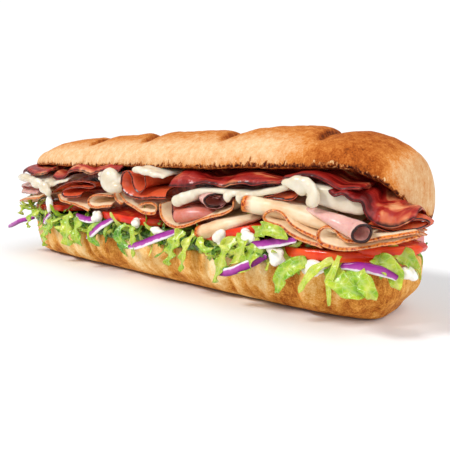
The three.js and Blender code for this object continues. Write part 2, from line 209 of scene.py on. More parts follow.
def smooth_step(value, start, end):
    """Rises smoothly from 0 at the start to 1 at the end."""
    share = np.clip((value - start) / (end - start), 0, 1)
    return share * share * (3 - 2 * share)


def squared_off(wave, power):
    """A wave between -1 and 1, made squarer by a power below 1 and sharper by one above it."""
    return np.sign(wave) * np.abs(wave) ** power


def unit(directions):
    """The same directions, each with a length of 1."""
    return directions / np.linalg.norm(directions, axis=-1, keepdims=True)


def unevenness(places, size, seed):
    """Smooth noise between about -1 and 1 at each place, with lumps of this size in mm."""
    places = np.asarray(places, float)
    spots = (places.reshape(-1, 3) / size + seed * 17.31).tolist()
    return np.array([noise.noise(spot) for spot in spots]).reshape(places.shape[:-1])


def between(first, last, start, end, now):
    """The straight way from the first place, reached at the start, to the last one at the end."""
    return (end - now) / (end - start) * first + (now - start) / (end - start) * last


def full_turn(count):
    """This many angles once round, as one row."""
    return np.linspace(0, 2 * math.pi, count, endpoint=False)[None, :]


def smooth_line(knots, spacing):
    """Places evenly spaced along a smooth curve through the knots, and how far along it each one is.
    Columns after the third are carried along."""
    knots = np.asarray(knots, float)
    padded = np.concatenate([[2 * knots[0] - knots[1]], knots, [2 * knots[-1] - knots[-2]]])
    dense = []
    for a, b, c, d in zip(padded, padded[1:], padded[2:], padded[3:]):
        t1 = np.linalg.norm(b[:3] - a[:3]) ** 0.5 + 1e-6
        t2 = t1 + np.linalg.norm(c[:3] - b[:3]) ** 0.5 + 1e-6
        t3 = t2 + np.linalg.norm(d[:3] - c[:3]) ** 0.5 + 1e-6
        t = np.linspace(t1, t2, 24, endpoint=False)[:, None]
        ab = between(a, b, 0, t1, t)
        bc = between(b, c, t1, t2, t)
        cd = between(c, d, t2, t3, t)
        dense.append(between(between(ab, bc, 0, t2, t), between(bc, cd, t1, t3, t), t1, t2, t))
    dense = np.concatenate(dense + [knots[-1:]])
    steps = np.linalg.norm(np.diff(dense[:, :3], axis=0), axis=1)
    reached = np.concatenate([[0], np.cumsum(steps)])
    count = max(8, int(reached[-1] / spacing))
    wanted = np.linspace(0, reached[-1], count)
    return np.stack([np.interp(wanted, reached, column) for column in dense.T], -1), wanted


def mesh_object(name, places, faces, material, marks):
    """An object with this mesh, given in mm. Marks are numbers kept at its points for its material."""
    mesh = bpy.data.meshes.new(name)
    mesh.from_pydata((places * MM).tolist(), [], faces)
    mesh.polygons.foreach_set("use_smooth", [True] * len(mesh.polygons))
    for mark, values in marks.items():
        attribute = mesh.attributes.new(mark, "FLOAT", "POINT")
        attribute.data.foreach_set("value", np.asarray(values, np.float32).ravel())
    mesh.materials.append(material)
    made = bpy.data.objects.new(name, mesh)
    scene.collection.objects.link(made)
    return made


def skin(name, rings, material, marks):
    """A closed surface through a row of equal rings, with a strip of faces across each end."""
    rows, size = rings.shape[:2]
    ring = np.arange(size)
    near = ring + size * np.arange(rows - 1)[:, None]
    beside = (ring + 1) % size + size * np.arange(rows - 1)[:, None]
    faces = np.stack([near, beside, beside + size, near + size], -1).reshape(-1, 4)
    step = np.arange(size // 2 - 1)
    strip = np.stack([step + 1, step, size - 1 - step, size - 2 - step], -1)
    top = (rows - 1) * size
    faces = np.concatenate([faces, strip, strip[:, ::-1] + top])
    corners = rings.reshape(-1, 3)[faces]
    volume = np.einsum("ij,ij->", corners[:, 0], np.cross(corners[:, 1], corners[:, 2]))
    volume += np.einsum("ij,ij->", corners[:, 0], np.cross(corners[:, 2], corners[:, 3]))
    if volume < 0:
        faces = faces[:, ::-1]
    return mesh_object(name, rings.reshape(-1, 3), faces.tolist(), material, marks)


# Baked crust: matte and finely grained, cream-tan on the sides and orange-tan where it browned on top,
# with fine upright streaks. The mark that browns it also carries painted shade, which darkens the scores,
# and painted light. Cut faces show the pale open crumb, and the crown's is painted dark brown beside it
# as painted shade.
# Each crust has its tones, from palest to darkest, and how strongly its patterns mottle them.
CRUST_TONES = {
    "crown_crust": (("#eed6b4", "#e0b584", "#d0813a", "#aa5416", "#521e08"), 1.5),
    "heel_crust": (("#ffe8be", "#f8ce8a", "#e29e44", "#b66622", "#5a240a"), 2.0),
}
crusts = {}
for crust_name, (tones, mottling) in CRUST_TONES.items():
    crust, tree, places, toast_and_shading, crumb, torn = finish_of(crust_name, "toast_and_shading", "crumb", "torn")
    tall = add(tree, "ShaderNodeMapping", {"Vector": places, "Scale": (1.0, 1.0, 0.14)})
    streaks = add(tree, "ShaderNodeTexNoise",
                  {"Vector": tall, "Scale": 420.0, "Detail": 5.0, "Roughness": 0.6})
    blotches = add(tree, "ShaderNodeTexNoise",
                   {"Vector": places, "Scale": 210.0, "Detail": 6.0, "Roughness": 0.68})
    grains = add(tree, "ShaderNodeTexNoise",
                 {"Vector": places, "Scale": 1200.0, "Detail": 3.0, "Roughness": 0.7})
    browned = toast_and_shading
    for pattern, weight in ((streaks, 0.36), (blotches, 0.42), (grains, 0.39)):
        browned = add(tree, "ShaderNodeMath", {0: pattern, 1: weight * mottling, 2: browned},
                      operation="MULTIPLY_ADD")
    middle_tone = 0.585 * mottling
    browning_and_shading = add(tree, "ShaderNodeMapRange",
                   {0: browned, 1: middle_tone - 0.085, 2: middle_tone + 1.055})
    tone = add(tree, "ShaderNodeValToRGB", {"Fac": browning_and_shading},
               stops=list(zip((0.0, 0.28, 0.55, 0.78, 1.0), tones)))
    jagged_places = add(tree, "ShaderNodeMapping", {"Vector": places, "Scale": (1.0, 1.0, 0.4)})
    jagged = add(tree, "ShaderNodeTexNoise", {"Vector": jagged_places, "Scale": 430.0, "Detail": 4.0})
    jagged_torn = add(tree, "ShaderNodeMath", {0: jagged, 1: 1.5, 2: torn}, operation="MULTIPLY_ADD")
    torn_off = add(tree, "ShaderNodeMapRange", {0: jagged_torn, 1: 1.24, 2: 1.34})
    torn_places = add(tree, "ShaderNodeMapping", {"Vector": places, "Scale": (1.0, 1.0, 0.5)})
    crumbs = add(tree, "ShaderNodeTexNoise",
                 {"Vector": torn_places, "Scale": 820.0, "Detail": 5.0, "Roughness": 0.7})
    darkest_below = add(tree, "ShaderNodeMath", {0: torn, 1: -0.25, 2: crumbs}, operation="MULTIPLY_ADD")
    torn_tone = add(tree, "ShaderNodeValToRGB", {"Fac": darkest_below},
                    stops=[(0.22, "#2c0e08"), (0.31, "#6e2c0e"), (0.4, "#b4682c"), (0.5, "#e6c08a")])
    edged = add(tree, "ShaderNodeMix", {0: torn_off, 6: tone, 7: torn_tone}, data_type="RGBA")
    pores = add(tree, "ShaderNodeTexVoronoi", {"Vector": places, "Scale": 420.0, "Randomness": 1.0})
    pale = add(tree, "ShaderNodeValToRGB", {"Fac": pores.outputs["Distance"]},
               stops=[(0.12, "#d9a563"), (0.5, "#fbe8c0")])
    mixed = add(tree, "ShaderNodeMix", {0: crumb, 6: edged.outputs[2], 7: pale}, data_type="RGBA")
    relief = add(tree, "ShaderNodeMath", {0: grains, 1: 0.8, 2: blotches}, operation="MULTIPLY_ADD")
    bump = add(tree, "ShaderNodeBump", {"Height": relief, "Strength": 0.32, "Distance": 0.0006})
    lay_on(tree, {
        "Base Color": mixed.outputs[2], "Normal": bump, "Roughness": 0.72, "IOR": 1.4,
        "Specular IOR Level": 0.15})
    crusts[crust_name] = crust


near_lip = smooth_line(CROWN_NEAR_LIP, 0.5)[0]
near_ridge = smooth_line(CROWN_NEAR_RIDGE, 0.5)[0]


def lip_height(x):
    """How high the crown's lip runs, with a slight waver."""
    return np.where(x > 0, np.interp(x, near_lip[:, 0], near_lip[:, 2]), LIP_HEIGHT) + 0.5 * waver(x, 4)


def ridge_rise(x, share):
    """How high the ridge stands over the lip. The far end is a plain rounded one."""
    near = np.interp(x, near_ridge[:, 0], near_ridge[:, 2]) - np.interp(x, near_lip[:, 0], near_lip[:, 2])
    return np.where(x > 0, near, (RIDGE_HEIGHT - LIP_HEIGHT - 0.8) * end_taper(share, CROWN_FAR_POWER))


def score_drop(x, across):
    """How far the scores drop the crust: steep on the far side, rising slowly into the next lobe."""
    drop = np.zeros(np.broadcast(x, across).shape)
    for score in SCORES:
        past = x - score
        rise = SCORE_DEPTH * np.clip(1 - past / SCORE_RISE, 0, 1) ** 1.6
        roll = 0.30 * SCORE_DEPTH * np.clip(1 + past / SCORE_LIP, 0, 1) ** 2
        drop = np.maximum(drop, np.where(past >= 0, rise * smooth_step(past, -0.8, 1.0), roll))
    return drop * (1 - smooth_step(np.abs(across), 0.4, 0.88))


# Arches of crust run from lip to lip, closer together towards both ends, and slant at the scores.
even = np.linspace(-1, 1, CROWN_RINGS)
crown_share = np.sign(even) * (1 - (1 - np.abs(even)) ** 1.6) * LAST_RING
crown_x = (crown_share * np.where(crown_share > 0, CROWN_NEAR_END, CROWN_FAR_END))[:, None]
plan_power = np.where(crown_share > 0, CROWN_NEAR_PLAN_POWER, PLAN_POWER)
half_width = (ROLL_HALF_WIDTH * end_taper(crown_share, plan_power))[:, None]
angle = np.linspace(0, math.pi, CROWN_POINTS)[None, :]
across = squared_off(np.cos(angle), 2 / CROWN_SECTION_POWER)
up = np.abs(np.sin(angle)) ** (2 / CROWN_SECTION_POWER)
crust_y = -half_width * across
slant = (SCORE_SLANT + 0.3 * smooth_step(crown_x, -30, 110)) * (1 - crown_share ** 4)[:, None]
crust_x = crown_x + slant * crust_y
crust_z = lip_height(crust_x) + ridge_rise(crust_x, crown_share[:, None]) * up - score_drop(crown_x, across)
crust = np.stack([crust_x, crust_y, crust_z], -1)
endward = 0.6 * crown_share[:, None] ** 9
outward = unit(np.stack([0 * crust_y + endward, -across + 0 * crown_x, up + 0 * crown_x], -1))

# The crust swells unevenly: upright ribs on its sides, broad lumps, and fine ones.
tall_places = crust * np.array([1.0, 0.4, 0.25])
swell = 0.26 * unevenness(tall_places, 4.2, 9)
for amount, size, seed in ((0.7, 24, 1), (0.28, 7, 2), (0.1, 2.2, 3)):
    swell = swell + amount * unevenness(crust, size, seed)
crust = crust + outward * (swell * np.minimum(1, half_width / 20))[..., None]
crease = np.zeros(crust_z.shape)
for score in SCORES:
    along = (crown_x - score - 0.5) / np.where(crown_x < score + 0.5, 0.9, 1.9)
    crease = np.maximum(crease, np.exp(-along ** 2) * (1 - smooth_step(np.abs(across), 0.35, 0.8)))

# The lip was torn, not cut: it is ragged, pulled outwards, and nicked.
above_lip = np.minimum(angle, math.pi - angle) / (math.pi / 2) * LIP_TO_RIDGE
lip_line = np.stack([crust[..., 0], 0 * crust_y, 0 * crust_y], -1)
ragged = unevenness(lip_line, 1.9, 5) + 0.8 * unevenness(lip_line, 4.6, 6)
crust[..., 2] += 0.9 * ragged * np.exp(-above_lip / 1.1)
crust[..., 1] += 0.35 * np.sign(across) * np.clip(ragged, 0, 1) * np.exp(-above_lip / 2.5)
tall_nicks = 1.0 + 2.2 * np.clip(unevenness(lip_line, 3.1, 8), 0, 1)
nicks = np.clip(0.35 + 1.2 * ragged, 0, 1) * np.exp(-(above_lip / tall_nicks) ** 2)
torn_lip = np.exp(-above_lip / (1.5 + 0.8 * tall_nicks)) * (0.72 + 0.28 * smooth_step(crown_x, 10, 90))

# It browned on top and over the last lobe before the near end, and is darker in its nicks. Along the lip
# and in the scores it is darker as painted shade, and the very near end is kept paler as painted light,
# where it faces away from the key lamp.
near_tan = smooth_step(crown_x, 78, 122) * (1 - 0.95 * smooth_step(crown_x, 134, 151))
on_top = smooth_step(up, 0.5, 0.97) * (1 - 0.75 * smooth_step(crown_x, 128, 150))
toast_and_shading = 0.21 + (0.39 - 0.38 * near_tan) * on_top + 0.54 * near_tan
toast_and_shading = toast_and_shading + (0.04 + 0.12 * smooth_step(crown_x, -60, 40)) * np.exp(-(above_lip / 5.5) ** 2)
toast_and_shading = toast_and_shading + 0.35 * nicks + 0.26 * crease + 0.06 * smooth_step(-crown_x, 90, 150)

# The cut face is hollowed along its middle, where it bends over the filling.
face_across = np.linspace(1, -1, CUT_FACE_POINTS)[None, :]
face_y = (half_width - 0.9) * face_across
face_x = crown_x + slant * face_y
arch = CUT_FACE_ARCH * (1 - np.abs(face_across) ** 2.4) * np.minimum(1, half_width / ROLL_HALF_WIDTH)
face_z = lip_height(face_x) - 1.0 + np.minimum(arch, 0.7 * ridge_rise(face_x, crown_share[:, None]))
cut_face = np.stack([face_x, face_y, face_z], -1)
cut_face[..., 2] += 0.35 * unevenness(cut_face, 3, 7)
# Only the middle of the cut face shows pale crumb. The rest of it is given the darkest crust tone, as
# painted shade under the crown.
cut_crumb = smooth_step(1 - np.abs(face_across), 0.75, 1.0) + 0 * face_z
crown = skin("crown_of_roll", np.concatenate([crust, cut_face], 1), crusts["crown_crust"], {
    "toast_and_shading": np.concatenate([toast_and_shading, np.full(face_z.shape, 1.0)], 1),
    "crumb": np.concatenate([0 * toast_and_shading, cut_crumb], 1),
    "torn": np.concatenate([torn_lip, 0 * face_z], 1)})
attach(crown, "root")
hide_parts("bread_crown")


# ---- The heel of the roll ----
# The lower half of the roll is a soft trough that stands on its flat underside and holds the lettuce.
# Its sides are wrinkled where the loaf was pressed, and only the rim of its cut face shows.
HEEL_HALF_LENGTH = 149
BASE_HALF_LENGTH = 138
BASE_HALF_WIDTH = 14
HEEL_HEIGHT = 26
WALL_HEIGHT = 20
WALL_POWER = 2 / 2.05
# The rings from this far in lie on the cut face.
CUT_FACE_INSET = 6
# The far end's foot and rim reach this much further out, and the near end's are tucked in by this.
FAR_FOOT_REACH = 8
FAR_RIM_REACH = 7
NEAR_FOOT_TUCK = 3
NEAR_RIM_TUCK = 1.5
# A painted highlight makes the crust palest round this place along the loaf, over this length to each side.
PAINTED_HIGHLIGHT_PLACE = 74
PAINTED_HIGHLIGHT_LENGTH = 15
DARKEST_TOAST = 0.7


def rim_height(x):
    """How high the heel's rim runs: it rises towards both ends, with a slight waver."""
    return HEEL_HEIGHT + 4 * (x / HEEL_HALF_LENGTH) ** 4 + 0.5 * waver(x, 1)


def plan_ring(half_length, half_width, height):
    """A ring round the loaf: along the front from left to right and back again behind."""
    steps = np.linspace(-1, 1, 300)
    share = np.sign(steps) * (1 - (1 - np.abs(steps)) ** 1.9) * LAST_RING
    x = share * half_length
    y = half_width * end_taper(share, PLAN_POWER)
    z = height(x) if callable(height) else np.full(x.shape, float(height))
    front = np.stack([x, -y, z], -1)
    back = np.stack([x, y, z], -1)[::-1]
    return np.concatenate([front, back])


# Rings run up the side from the flat underside to the rim, then in over the cut face.
heel_rings = [plan_ring(BASE_HALF_LENGTH - 6, BASE_HALF_WIDTH - 4, 0),
              plan_ring(BASE_HALF_LENGTH, BASE_HALF_WIDTH, 0)]
heel_up = [0, 0]
for turn in np.linspace(0, math.pi / 2, 38)[1:]:
    out = math.sin(turn) ** WALL_POWER
    height = WALL_HEIGHT * (1 - math.cos(turn) ** WALL_POWER)
    heel_rings.append(plan_ring(BASE_HALF_LENGTH + (HEEL_HALF_LENGTH - BASE_HALF_LENGTH) * out,
                                BASE_HALF_WIDTH + (ROLL_HALF_WIDTH - BASE_HALF_WIDTH) * out, height))
    heel_up.append(height)
for inset, below in ((0.05, 4.4), (0.15, 3.0), (0.4, 1.5), (0.9, 0.7), (1.6, 0.2), (2.4, 0.0), (3.6, 0.3),
                     (CUT_FACE_INSET, 1.0), (10, 2.2), (20, 4.0), (30, 4.5)):
    heel_rings.append(plan_ring(HEEL_HALF_LENGTH - inset, ROLL_HALF_WIDTH - inset,
                                lambda x: rim_height(x) - below))
    heel_up.append(HEEL_HEIGHT - below if inset < CUT_FACE_INSET else HEEL_HEIGHT + 1)
heel = np.array(heel_rings)
heel_up = np.array(heel_up, float)[:, None]

# Pressed folds and thin wrinkles run mostly upright round the side.
side = smooth_step(heel_up, 0.3, 7) * (heel_up <= HEEL_HEIGHT)
length_place = np.stack([heel[..., 0], np.sign(heel[..., 1]) * 30, heel[..., 2] * 0.22], -1)
folds = unevenness(length_place, 15, 11)
folds = np.where(folds < 0, folds * 1.6, folds * 0.7)
wrinkles = np.minimum(np.abs(unevenness(length_place, 13, 17)) * 3.2, 1) - 1
lumps = 2.4 * folds + 1.5 * wrinkles + 0.35 * unevenness(heel, 7, 12) + 0.12 * unevenness(heel, 2.4, 13)
outward = np.stack([squared_off(heel[..., 0] / HEEL_HALF_LENGTH, 14), np.sign(heel[..., 1]),
                    np.full(heel.shape[:2], -0.25)], -1)
heel = heel + outward * (np.minimum(lumps, 0.5) * side)[..., None]

# Both ends are moved along in the heel's own places.
along = heel[..., 0]
along -= FAR_FOOT_REACH * smooth_step(-along, 70, BASE_HALF_LENGTH) * (1 - smooth_step(heel_up, 0, 13))
along -= FAR_RIM_REACH * smooth_step(-along, 80, HEEL_HALF_LENGTH)
along -= NEAR_FOOT_TUCK * smooth_step(along, 60, BASE_HALF_LENGTH) * (1 - smooth_step(heel_up, 0, 17))
along -= NEAR_RIM_TUCK * smooth_step(along, 90, HEEL_HALF_LENGTH)

# It is darker at its foot and low on its side, and browned on its rim and towards the near end. The
# valleys of its folds and its wrinkles are darkened as painted shade, the ridges of its folds lightened as
# painted light, and a painted highlight pales one stretch of its side.
behind = smooth_step(heel[..., 1], -5, 5)
toast_and_shading = 0.28 - (0.52 - 0.3 * behind) * folds * side - 0.38 * wrinkles * side
toast_and_shading = toast_and_shading + 0.25 * np.exp(-heel_up / 2.0) + 0.12 * unevenness(heel, 30, 14)
toast_and_shading = toast_and_shading + 0.28 * smooth_step(along, 30, 140) + 0.36 * (1 - smooth_step(heel_up, 0.5, 13))
toast_and_shading = toast_and_shading + 0.12 * np.exp(-np.abs(heel_up - HEEL_HEIGHT) / 1.4)
# A painted highlight pales the side round one place along the loaf.
toast_and_shading = toast_and_shading - 0.08 - 0.42 * np.exp(-((along - PAINTED_HIGHLIGHT_PLACE) / PAINTED_HIGHLIGHT_LENGTH) ** 2)
toast_and_shading = np.minimum(toast_and_shading, DARKEST_TOAST)
heel_crumb = (heel_up > HEEL_HEIGHT - 0.05) * np.ones(heel.shape[:2])
heel_piece = skin("heel_of_roll", heel, crusts["heel_crust"], {"toast_and_shading": toast_and_shading, "crumb": heel_crumb})
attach(heel_piece, "root")
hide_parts("bread_heel")


# ---- Bacon ----
# Five smoked rashers lie right under the crown, fried until their rims crinkled and charred. Lean
# crimson bands run along each one between streaks of amber fat.

# Every slice of bacon, meat, cheese and tomato runs through the loaf from its open front to its back.
# Its front edge is a folded line, and the slice droops over the pieces under it near that edge.
FILLING_HALF_LENGTH = 162
FILLING_HALF_WIDTH = 40
FILLING_BACK_LENGTH = 147
FILLING_BACK_WIDTH = 38
SLICE_STEP = 0.8
LEAST_HALF_DEPTH = 2.5
# The rows of a slice's mesh lie this far in from its front edge, and as far in from its back edge.
ROW_DISTANCES = (0, 0.18, 0.45, 0.85, 1.4, 2.1, 3.0, 4.0, 5.2, 6.6, 8.4, 10.6, 13.5, 18, 26)


def filling_front(x):
    """How far in front of the middle the filling reaches."""
    return FILLING_HALF_WIDTH * end_taper(x / FILLING_HALF_LENGTH, PLAN_POWER)


def filling_back(x):
    """How far behind the middle it reaches. Past its own length there are only the front corners."""
    inside = FILLING_BACK_WIDTH * end_taper(x / FILLING_BACK_LENGTH, PLAN_POWER)
    return inside - 1.6 * np.maximum(np.abs(x) - FILLING_BACK_LENGTH, 0)


def rounding(share, least):
    """The half thickness of a rounded end at a share of its radius, as a share of the full one."""
    return np.sqrt(1 - (1 - np.clip(share, least, 1)) ** 2)


def folded_slice(edge, thickness, seed, roundness=None, droop=5.0, droop_run=7.0, reach=0.0, ragged=0.8,
                 wave=0.45, rim_share=0.55, gather=0.0, bulk=1.4, inner_rise=0.0):
    """Rings from front to back through a slice with this front edge, and the marks that its finish needs.
    The edge gives x and height, and where they differ from the slice's own, its thickness and droop."""
    knots = [(x, 0, z, *own, *(thickness, droop)[len(own):]) for x, z, *own in edge]
    line, reached = smooth_line(knots, SLICE_STEP)
    x, z, thick, drooping = line[:, 0], line[:, 2], line[:, 3], line[:, 4]
    run = np.gradient(np.stack([x, z]), axis=1)
    run /= np.linalg.norm(run, axis=0)
    from_end = np.minimum(reached, reached[-1] - reached)
    rounded = rounding(from_end / (0.5 * thick), 0.02)
    bumps = np.stack([reached, 0 * reached, 0 * reached + seed * 9.7], -1)
    uneven = ragged * (1.3 * unevenness(bumps, 9, seed) + 0.5 * unevenness(bumps, 2.6, seed + 1))
    outline = np.ones(x.shape) if roundness is None else roundness(x)
    front = outline * filling_front(x) + reach + uneven
    back = outline * filling_back(x) + uneven
    half_depth = np.maximum(0.5 * (front + back), LEAST_HALF_DEPTH)
    middle = half_depth - front
    shares = [1 - distance / FILLING_HALF_WIDTH for distance in ROW_DISTANCES]
    shares = shares + [0] + [-share for share in reversed(shares)]
    rings, edges, alongs, depths = [], [], [], []
    for row, share in enumerate([1] + shares):
        inward = (1 - abs(share)) * half_depth
        half = 0.5 * thick * rounded * (rim_share + (1 - rim_share) * np.minimum(1, inward / 0.7) ** 0.6)
        half = half * (1 + bulk * smooth_step(inward, 4, 12))
        if row == 0:
            half = 0.2 * half
        y = middle - share * half_depth
        rise = drooping * (1 - np.exp(-inward / droop_run))
        spots = np.stack([x, y, 0 * x], -1)
        rise = rise + wave * unevenness(spots, 8, 40) + 0.5 * wave * unevenness(spots, 4, seed + 2)
        rise = rise + inner_rise * smooth_step(inward, 12, 24)
        gathered = gather * (1 - np.exp(-inward / 6))
        for side in (1, -1):
            place_x = x - side * run[1] * half
            place_z = z + rise + side * run[0] * half
            place_x = place_x + (0.5 * (x.min() + x.max()) - place_x) * 0.5 * gathered
            place_z = place_z + (0.5 * (z.min() + z.max()) - place_z) * gathered
            rings.append(np.stack([place_x, y - 0.1 * (row == 0), place_z], -1))
        edges.append(np.minimum(inward if row else 1.6 * 0.5 * thick * rim_share, from_end + 0.25))
        alongs.append(reached)
        depths.append(inward)
    loops = np.concatenate([np.array(rings[0::2]), np.array(rings[1::2])[:, ::-1]], 1)
    marks = {"edge": np.array(edges), "along": np.array(alongs), "depth": np.array(depths)}
    return loops, {mark: np.concatenate([rows, rows[:, ::-1]], 1) for mark, rows in marks.items()}


BACON_THICKNESS = 1.9
BACON_EDGES = [
    [(-153, 63.5), (-143, 65.8), (-130, 64.2), (-115, 63.6), (-101, 65)],
    [(-96, 62.2), (-89, 60.8), (-82, 61.6), (-75, 65), (-67, 67), (-58, 66.8), (-50, 65.4), (-42, 66.6),
     (-32, 67.6), (-18, 67.4)],
    [(26.5, 60.2, 1.8, 6), (31, 60.2, 1.8, 8.5), (36, 60.4, 1.8, 9), (41, 61, 1.8, 8),
     (48, 62.4, 1.8, 5), (54, 63.6, 1.8, 1.4), (59.5, 62.8, 1.8, 2.6), (65.5, 61.4, 1.8, 4.8),
     (72, 62.8, 1.8, 5.2), (78, 63.8, 1.8, 5), (84, 63, 1.8, 6), (90, 64, 1.8, 3.4),
     (97.5, 64.8, 1.8, 1.2), (103, 65.8, 1.8, 0.8)],
    [(101, 66.8, 1.8, 0.8), (105.6, 66.8, 1.8, 2), (109, 68, 1.8, 1.8), (113, 68.4, 1.8, 1.6),
     (117.5, 67.4, 1.8, 1.6), (121, 65.8, 1.8, 1.6), (124, 64.4, 1.8, 1.4), (128, 62.9, 1.8, 1.2),
     (132, 63.1, 1.8, 0.8), (137, 63.4, 1.8, 0.6)],
    [(124.5, 62, 1.8, 0.8), (127, 60.2, 1.8, 2), (130.5, 61.2, 1.8, 1.4), (133, 59.4, 1.8, 2.4),
     (135, 58.4, 1.8, 3), (138, 58, 1.8, 2.6), (139.8, 53.8, 1.8, 3.6), (142, 50.6, 1.8, 5.6),
     (145, 48.8, 1.8, 7.2), (148, 48, 1.8, 7.8), (151, 48.4, 1.8, 7.4), (154.6, 50, 1.8, 6.2),
     (157.5, 52.2, 1.8, 4.6)],
]
# For each rasher: how far it droops behind its edge, how far it reaches out, and how fatty it is.
BACON_DROOP = (4.0, 5.2, 4, 4, 4)
BACON_REACH = (2.5, 0.5, 1.0, 1.5, 3.5)
BACON_FAT = (0.0, 0.05, -0.03, -0.06, 0.08)
# The last rasher hangs out sideways: its bands run in from its rim, and it is leaner up to its middle.
SIDEWAYS_RASHER = 4
BANDS_APART = 5
BANDS_STRETCH = 0.3
LEANER_BY = 0.26
LEANER_UP_TO = (137, 147)

# Fried bacon: wet-looking cured lean, translucent amber fat, and a thin burnt rim.
fried_bacon, tree, places, edge, along, depth, fatty = finish_of(
    "fried_bacon", "edge", "along", "depth", "fatty")
slow = add(tree, "ShaderNodeMath", {0: along, 1: 0.11}, operation="MULTIPLY")
strip = add(tree, "ShaderNodeCombineXYZ", {"X": slow, "Y": depth})
meander = add(tree, "ShaderNodeTexNoise", {"Vector": places, "Scale": 70.0, "Detail": 2.0})
bands = add(tree, "ShaderNodeTexNoise", {"Vector": strip, "Scale": 0.34, "Detail": 2.0, "Roughness": 0.55,
                                          "Distortion": 0.5})
meandering = add(tree, "ShaderNodeMath", {0: meander, 1: 0.45, 2: fatty}, operation="MULTIPLY_ADD")
banded = add(tree, "ShaderNodeMath", {0: meandering, 1: bands}, operation="ADD")
flesh = add(tree, "ShaderNodeValToRGB", {"Fac": banded}, stops=[
    (0.48, "#5a0a09"), (0.62, "#8e1713"), (0.74, "#a82c20"), (0.84, "#cc6a44"), (0.98, "#e4a070")])
burn = add(tree, "ShaderNodeTexNoise", {"Vector": places, "Scale": 330.0, "Detail": 3.0})
burnt_edge = add(tree, "ShaderNodeMath", {0: burn, 1: -0.9, 2: edge}, operation="MULTIPLY_ADD")
burnt = add(tree, "ShaderNodeMapRange", {0: burnt_edge, 1: -0.42, 2: 0.12, 3: 0.95, 4: 0.0})
coloured = add(tree, "ShaderNodeMix", {0: burnt, 6: flesh, 7: linear("#1c0504")}, data_type="RGBA")
fine = add(tree, "ShaderNodeTexNoise", {"Vector": places, "Scale": 620.0, "Detail": 4.0})
relief = add(tree, "ShaderNodeMath", {0: banded, 1: 1.6, 2: fine}, operation="MULTIPLY_ADD")
bump = add(tree, "ShaderNodeBump", {"Height": relief, "Strength": 0.5, "Distance": 0.0008})
dulled = add(tree, "ShaderNodeMapRange", {0: burnt, 3: 0.28, 4: 0.75})
lay_on(tree, {
    "Base Color": coloured.outputs[2], "Normal": bump, "Roughness": dulled, "IOR": 1.45,
    "Specular IOR Level": 0.3,
    "Coat Weight": 0.16, "Coat Roughness": 0.1})

for index, route in enumerate(BACON_EDGES):
    loops, marks = folded_slice(route, BACON_THICKNESS, 60 + index, droop=BACON_DROOP[index], droop_run=3.6,
                                reach=BACON_REACH[index], ragged=1.0, wave=0.6, rim_share=0.35, bulk=0.5,
                                inner_rise=6.0)
    marks["fatty"] = np.full(marks["edge"].shape, BACON_FAT[index])
    if index == SIDEWAYS_RASHER:
        marks["along"], marks["depth"] = BANDS_APART * marks["depth"], BANDS_STRETCH * marks["along"]
        marks["fatty"] -= LEANER_BY * (1 - smooth_step(loops[..., 0], *LEANER_UP_TO))
    rasher = skin(f"rasher_{index + 1}", loops, fried_bacon, marks)
    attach(rasher, "root")
    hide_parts(f"bacon_strip_{index + 1}")


# ---- Ham ----
# Seven thin slices of cooked cured ham, folded over or rolled. The smoked outside of the joint leaves
# a thin dark rim round each pink slice.
HAM_SEEN_THICKNESS = 1.2
HAM_EDGES = [
    [(-112, 49.8), (-134, 48.8), (-152, 49.2), (-156.4, 51.4), (-152, 53.6), (-134, 54.6),
     (-116, 55.2)],
    [(-96, 51), (-85, 55.8), (-73, 59), (-57, 60.2), (-46, 60), (-40.4, 58.4), (-46, 56.6), (-58, 56.2),
     (-72, 55), (-80.4, 53.2), (-82, 50.8), (-78, 49), (-68, 49), (-57, 50.6)],
    [(8.6, 67.6), (9.6, 63.5), (9.6, 60), (7.4, 57), (4, 55.8), (0.8, 57), (-1.8, 60.5), (-3, 64.6),
     (-5.4, 68), (-8.6, 67.8), (-11.6, 65), (-12.8, 61), (-11.4, 57.2), (-6.4, 53.8), (0, 52.4),
     (8, 52.4), (18, 53.4), (27, 53.6)],
    [(29.2, 51), (29.6, 46.4), (30.6, 42.6), (32.2, 41), (34, 42.8), (35.6, 46.6), (39, 49), (45, 49.4),
     (51.5, 47.8)],
    [(64, 55.6), (59.5, 56.4), (54, 55.6), (52.8, 53.2), (54.6, 51), (59.5, 50.4), (65, 51.4),
     (66.8, 53.6)],
    [(90.5, 57.6), (95, 58.6), (99, 60), (103.5, 62), (107, 62.6), (108.8, 61), (107.6, 58.2),
     (104, 56.8), (98.5, 57.2), (92, 57.2)],
    [(139.7, 48.4), (144.5, 47.0), (147.7, 46.2), (153, 46.4), (158.6, 47.6), (160.6, 49.4),
     (158.6, 51.2), (153, 50)],
]
# For each slice: how red it was cured, how far it reaches out, how much it is gathered together
# inside, and how much thinner its dark rim is. The last slice's deep red is partly its cure and partly
# painted shade at the near end.
HAM_REDNESS = (0.02, 0.85, 0.85, 0.45, 0.3, 0.75, 0.8)
HAM_REACH = (5.0, 1.5, 3.5, 1.5, 1.0, 1.0, 1.5)
HAM_GATHER = (0.2, 0.6, 0.6, 0.5, 0.5, 0.5, 0.3)
HAM_RIM_THINNING = (2.5, 1, 1, 1, 1, 1, 1)

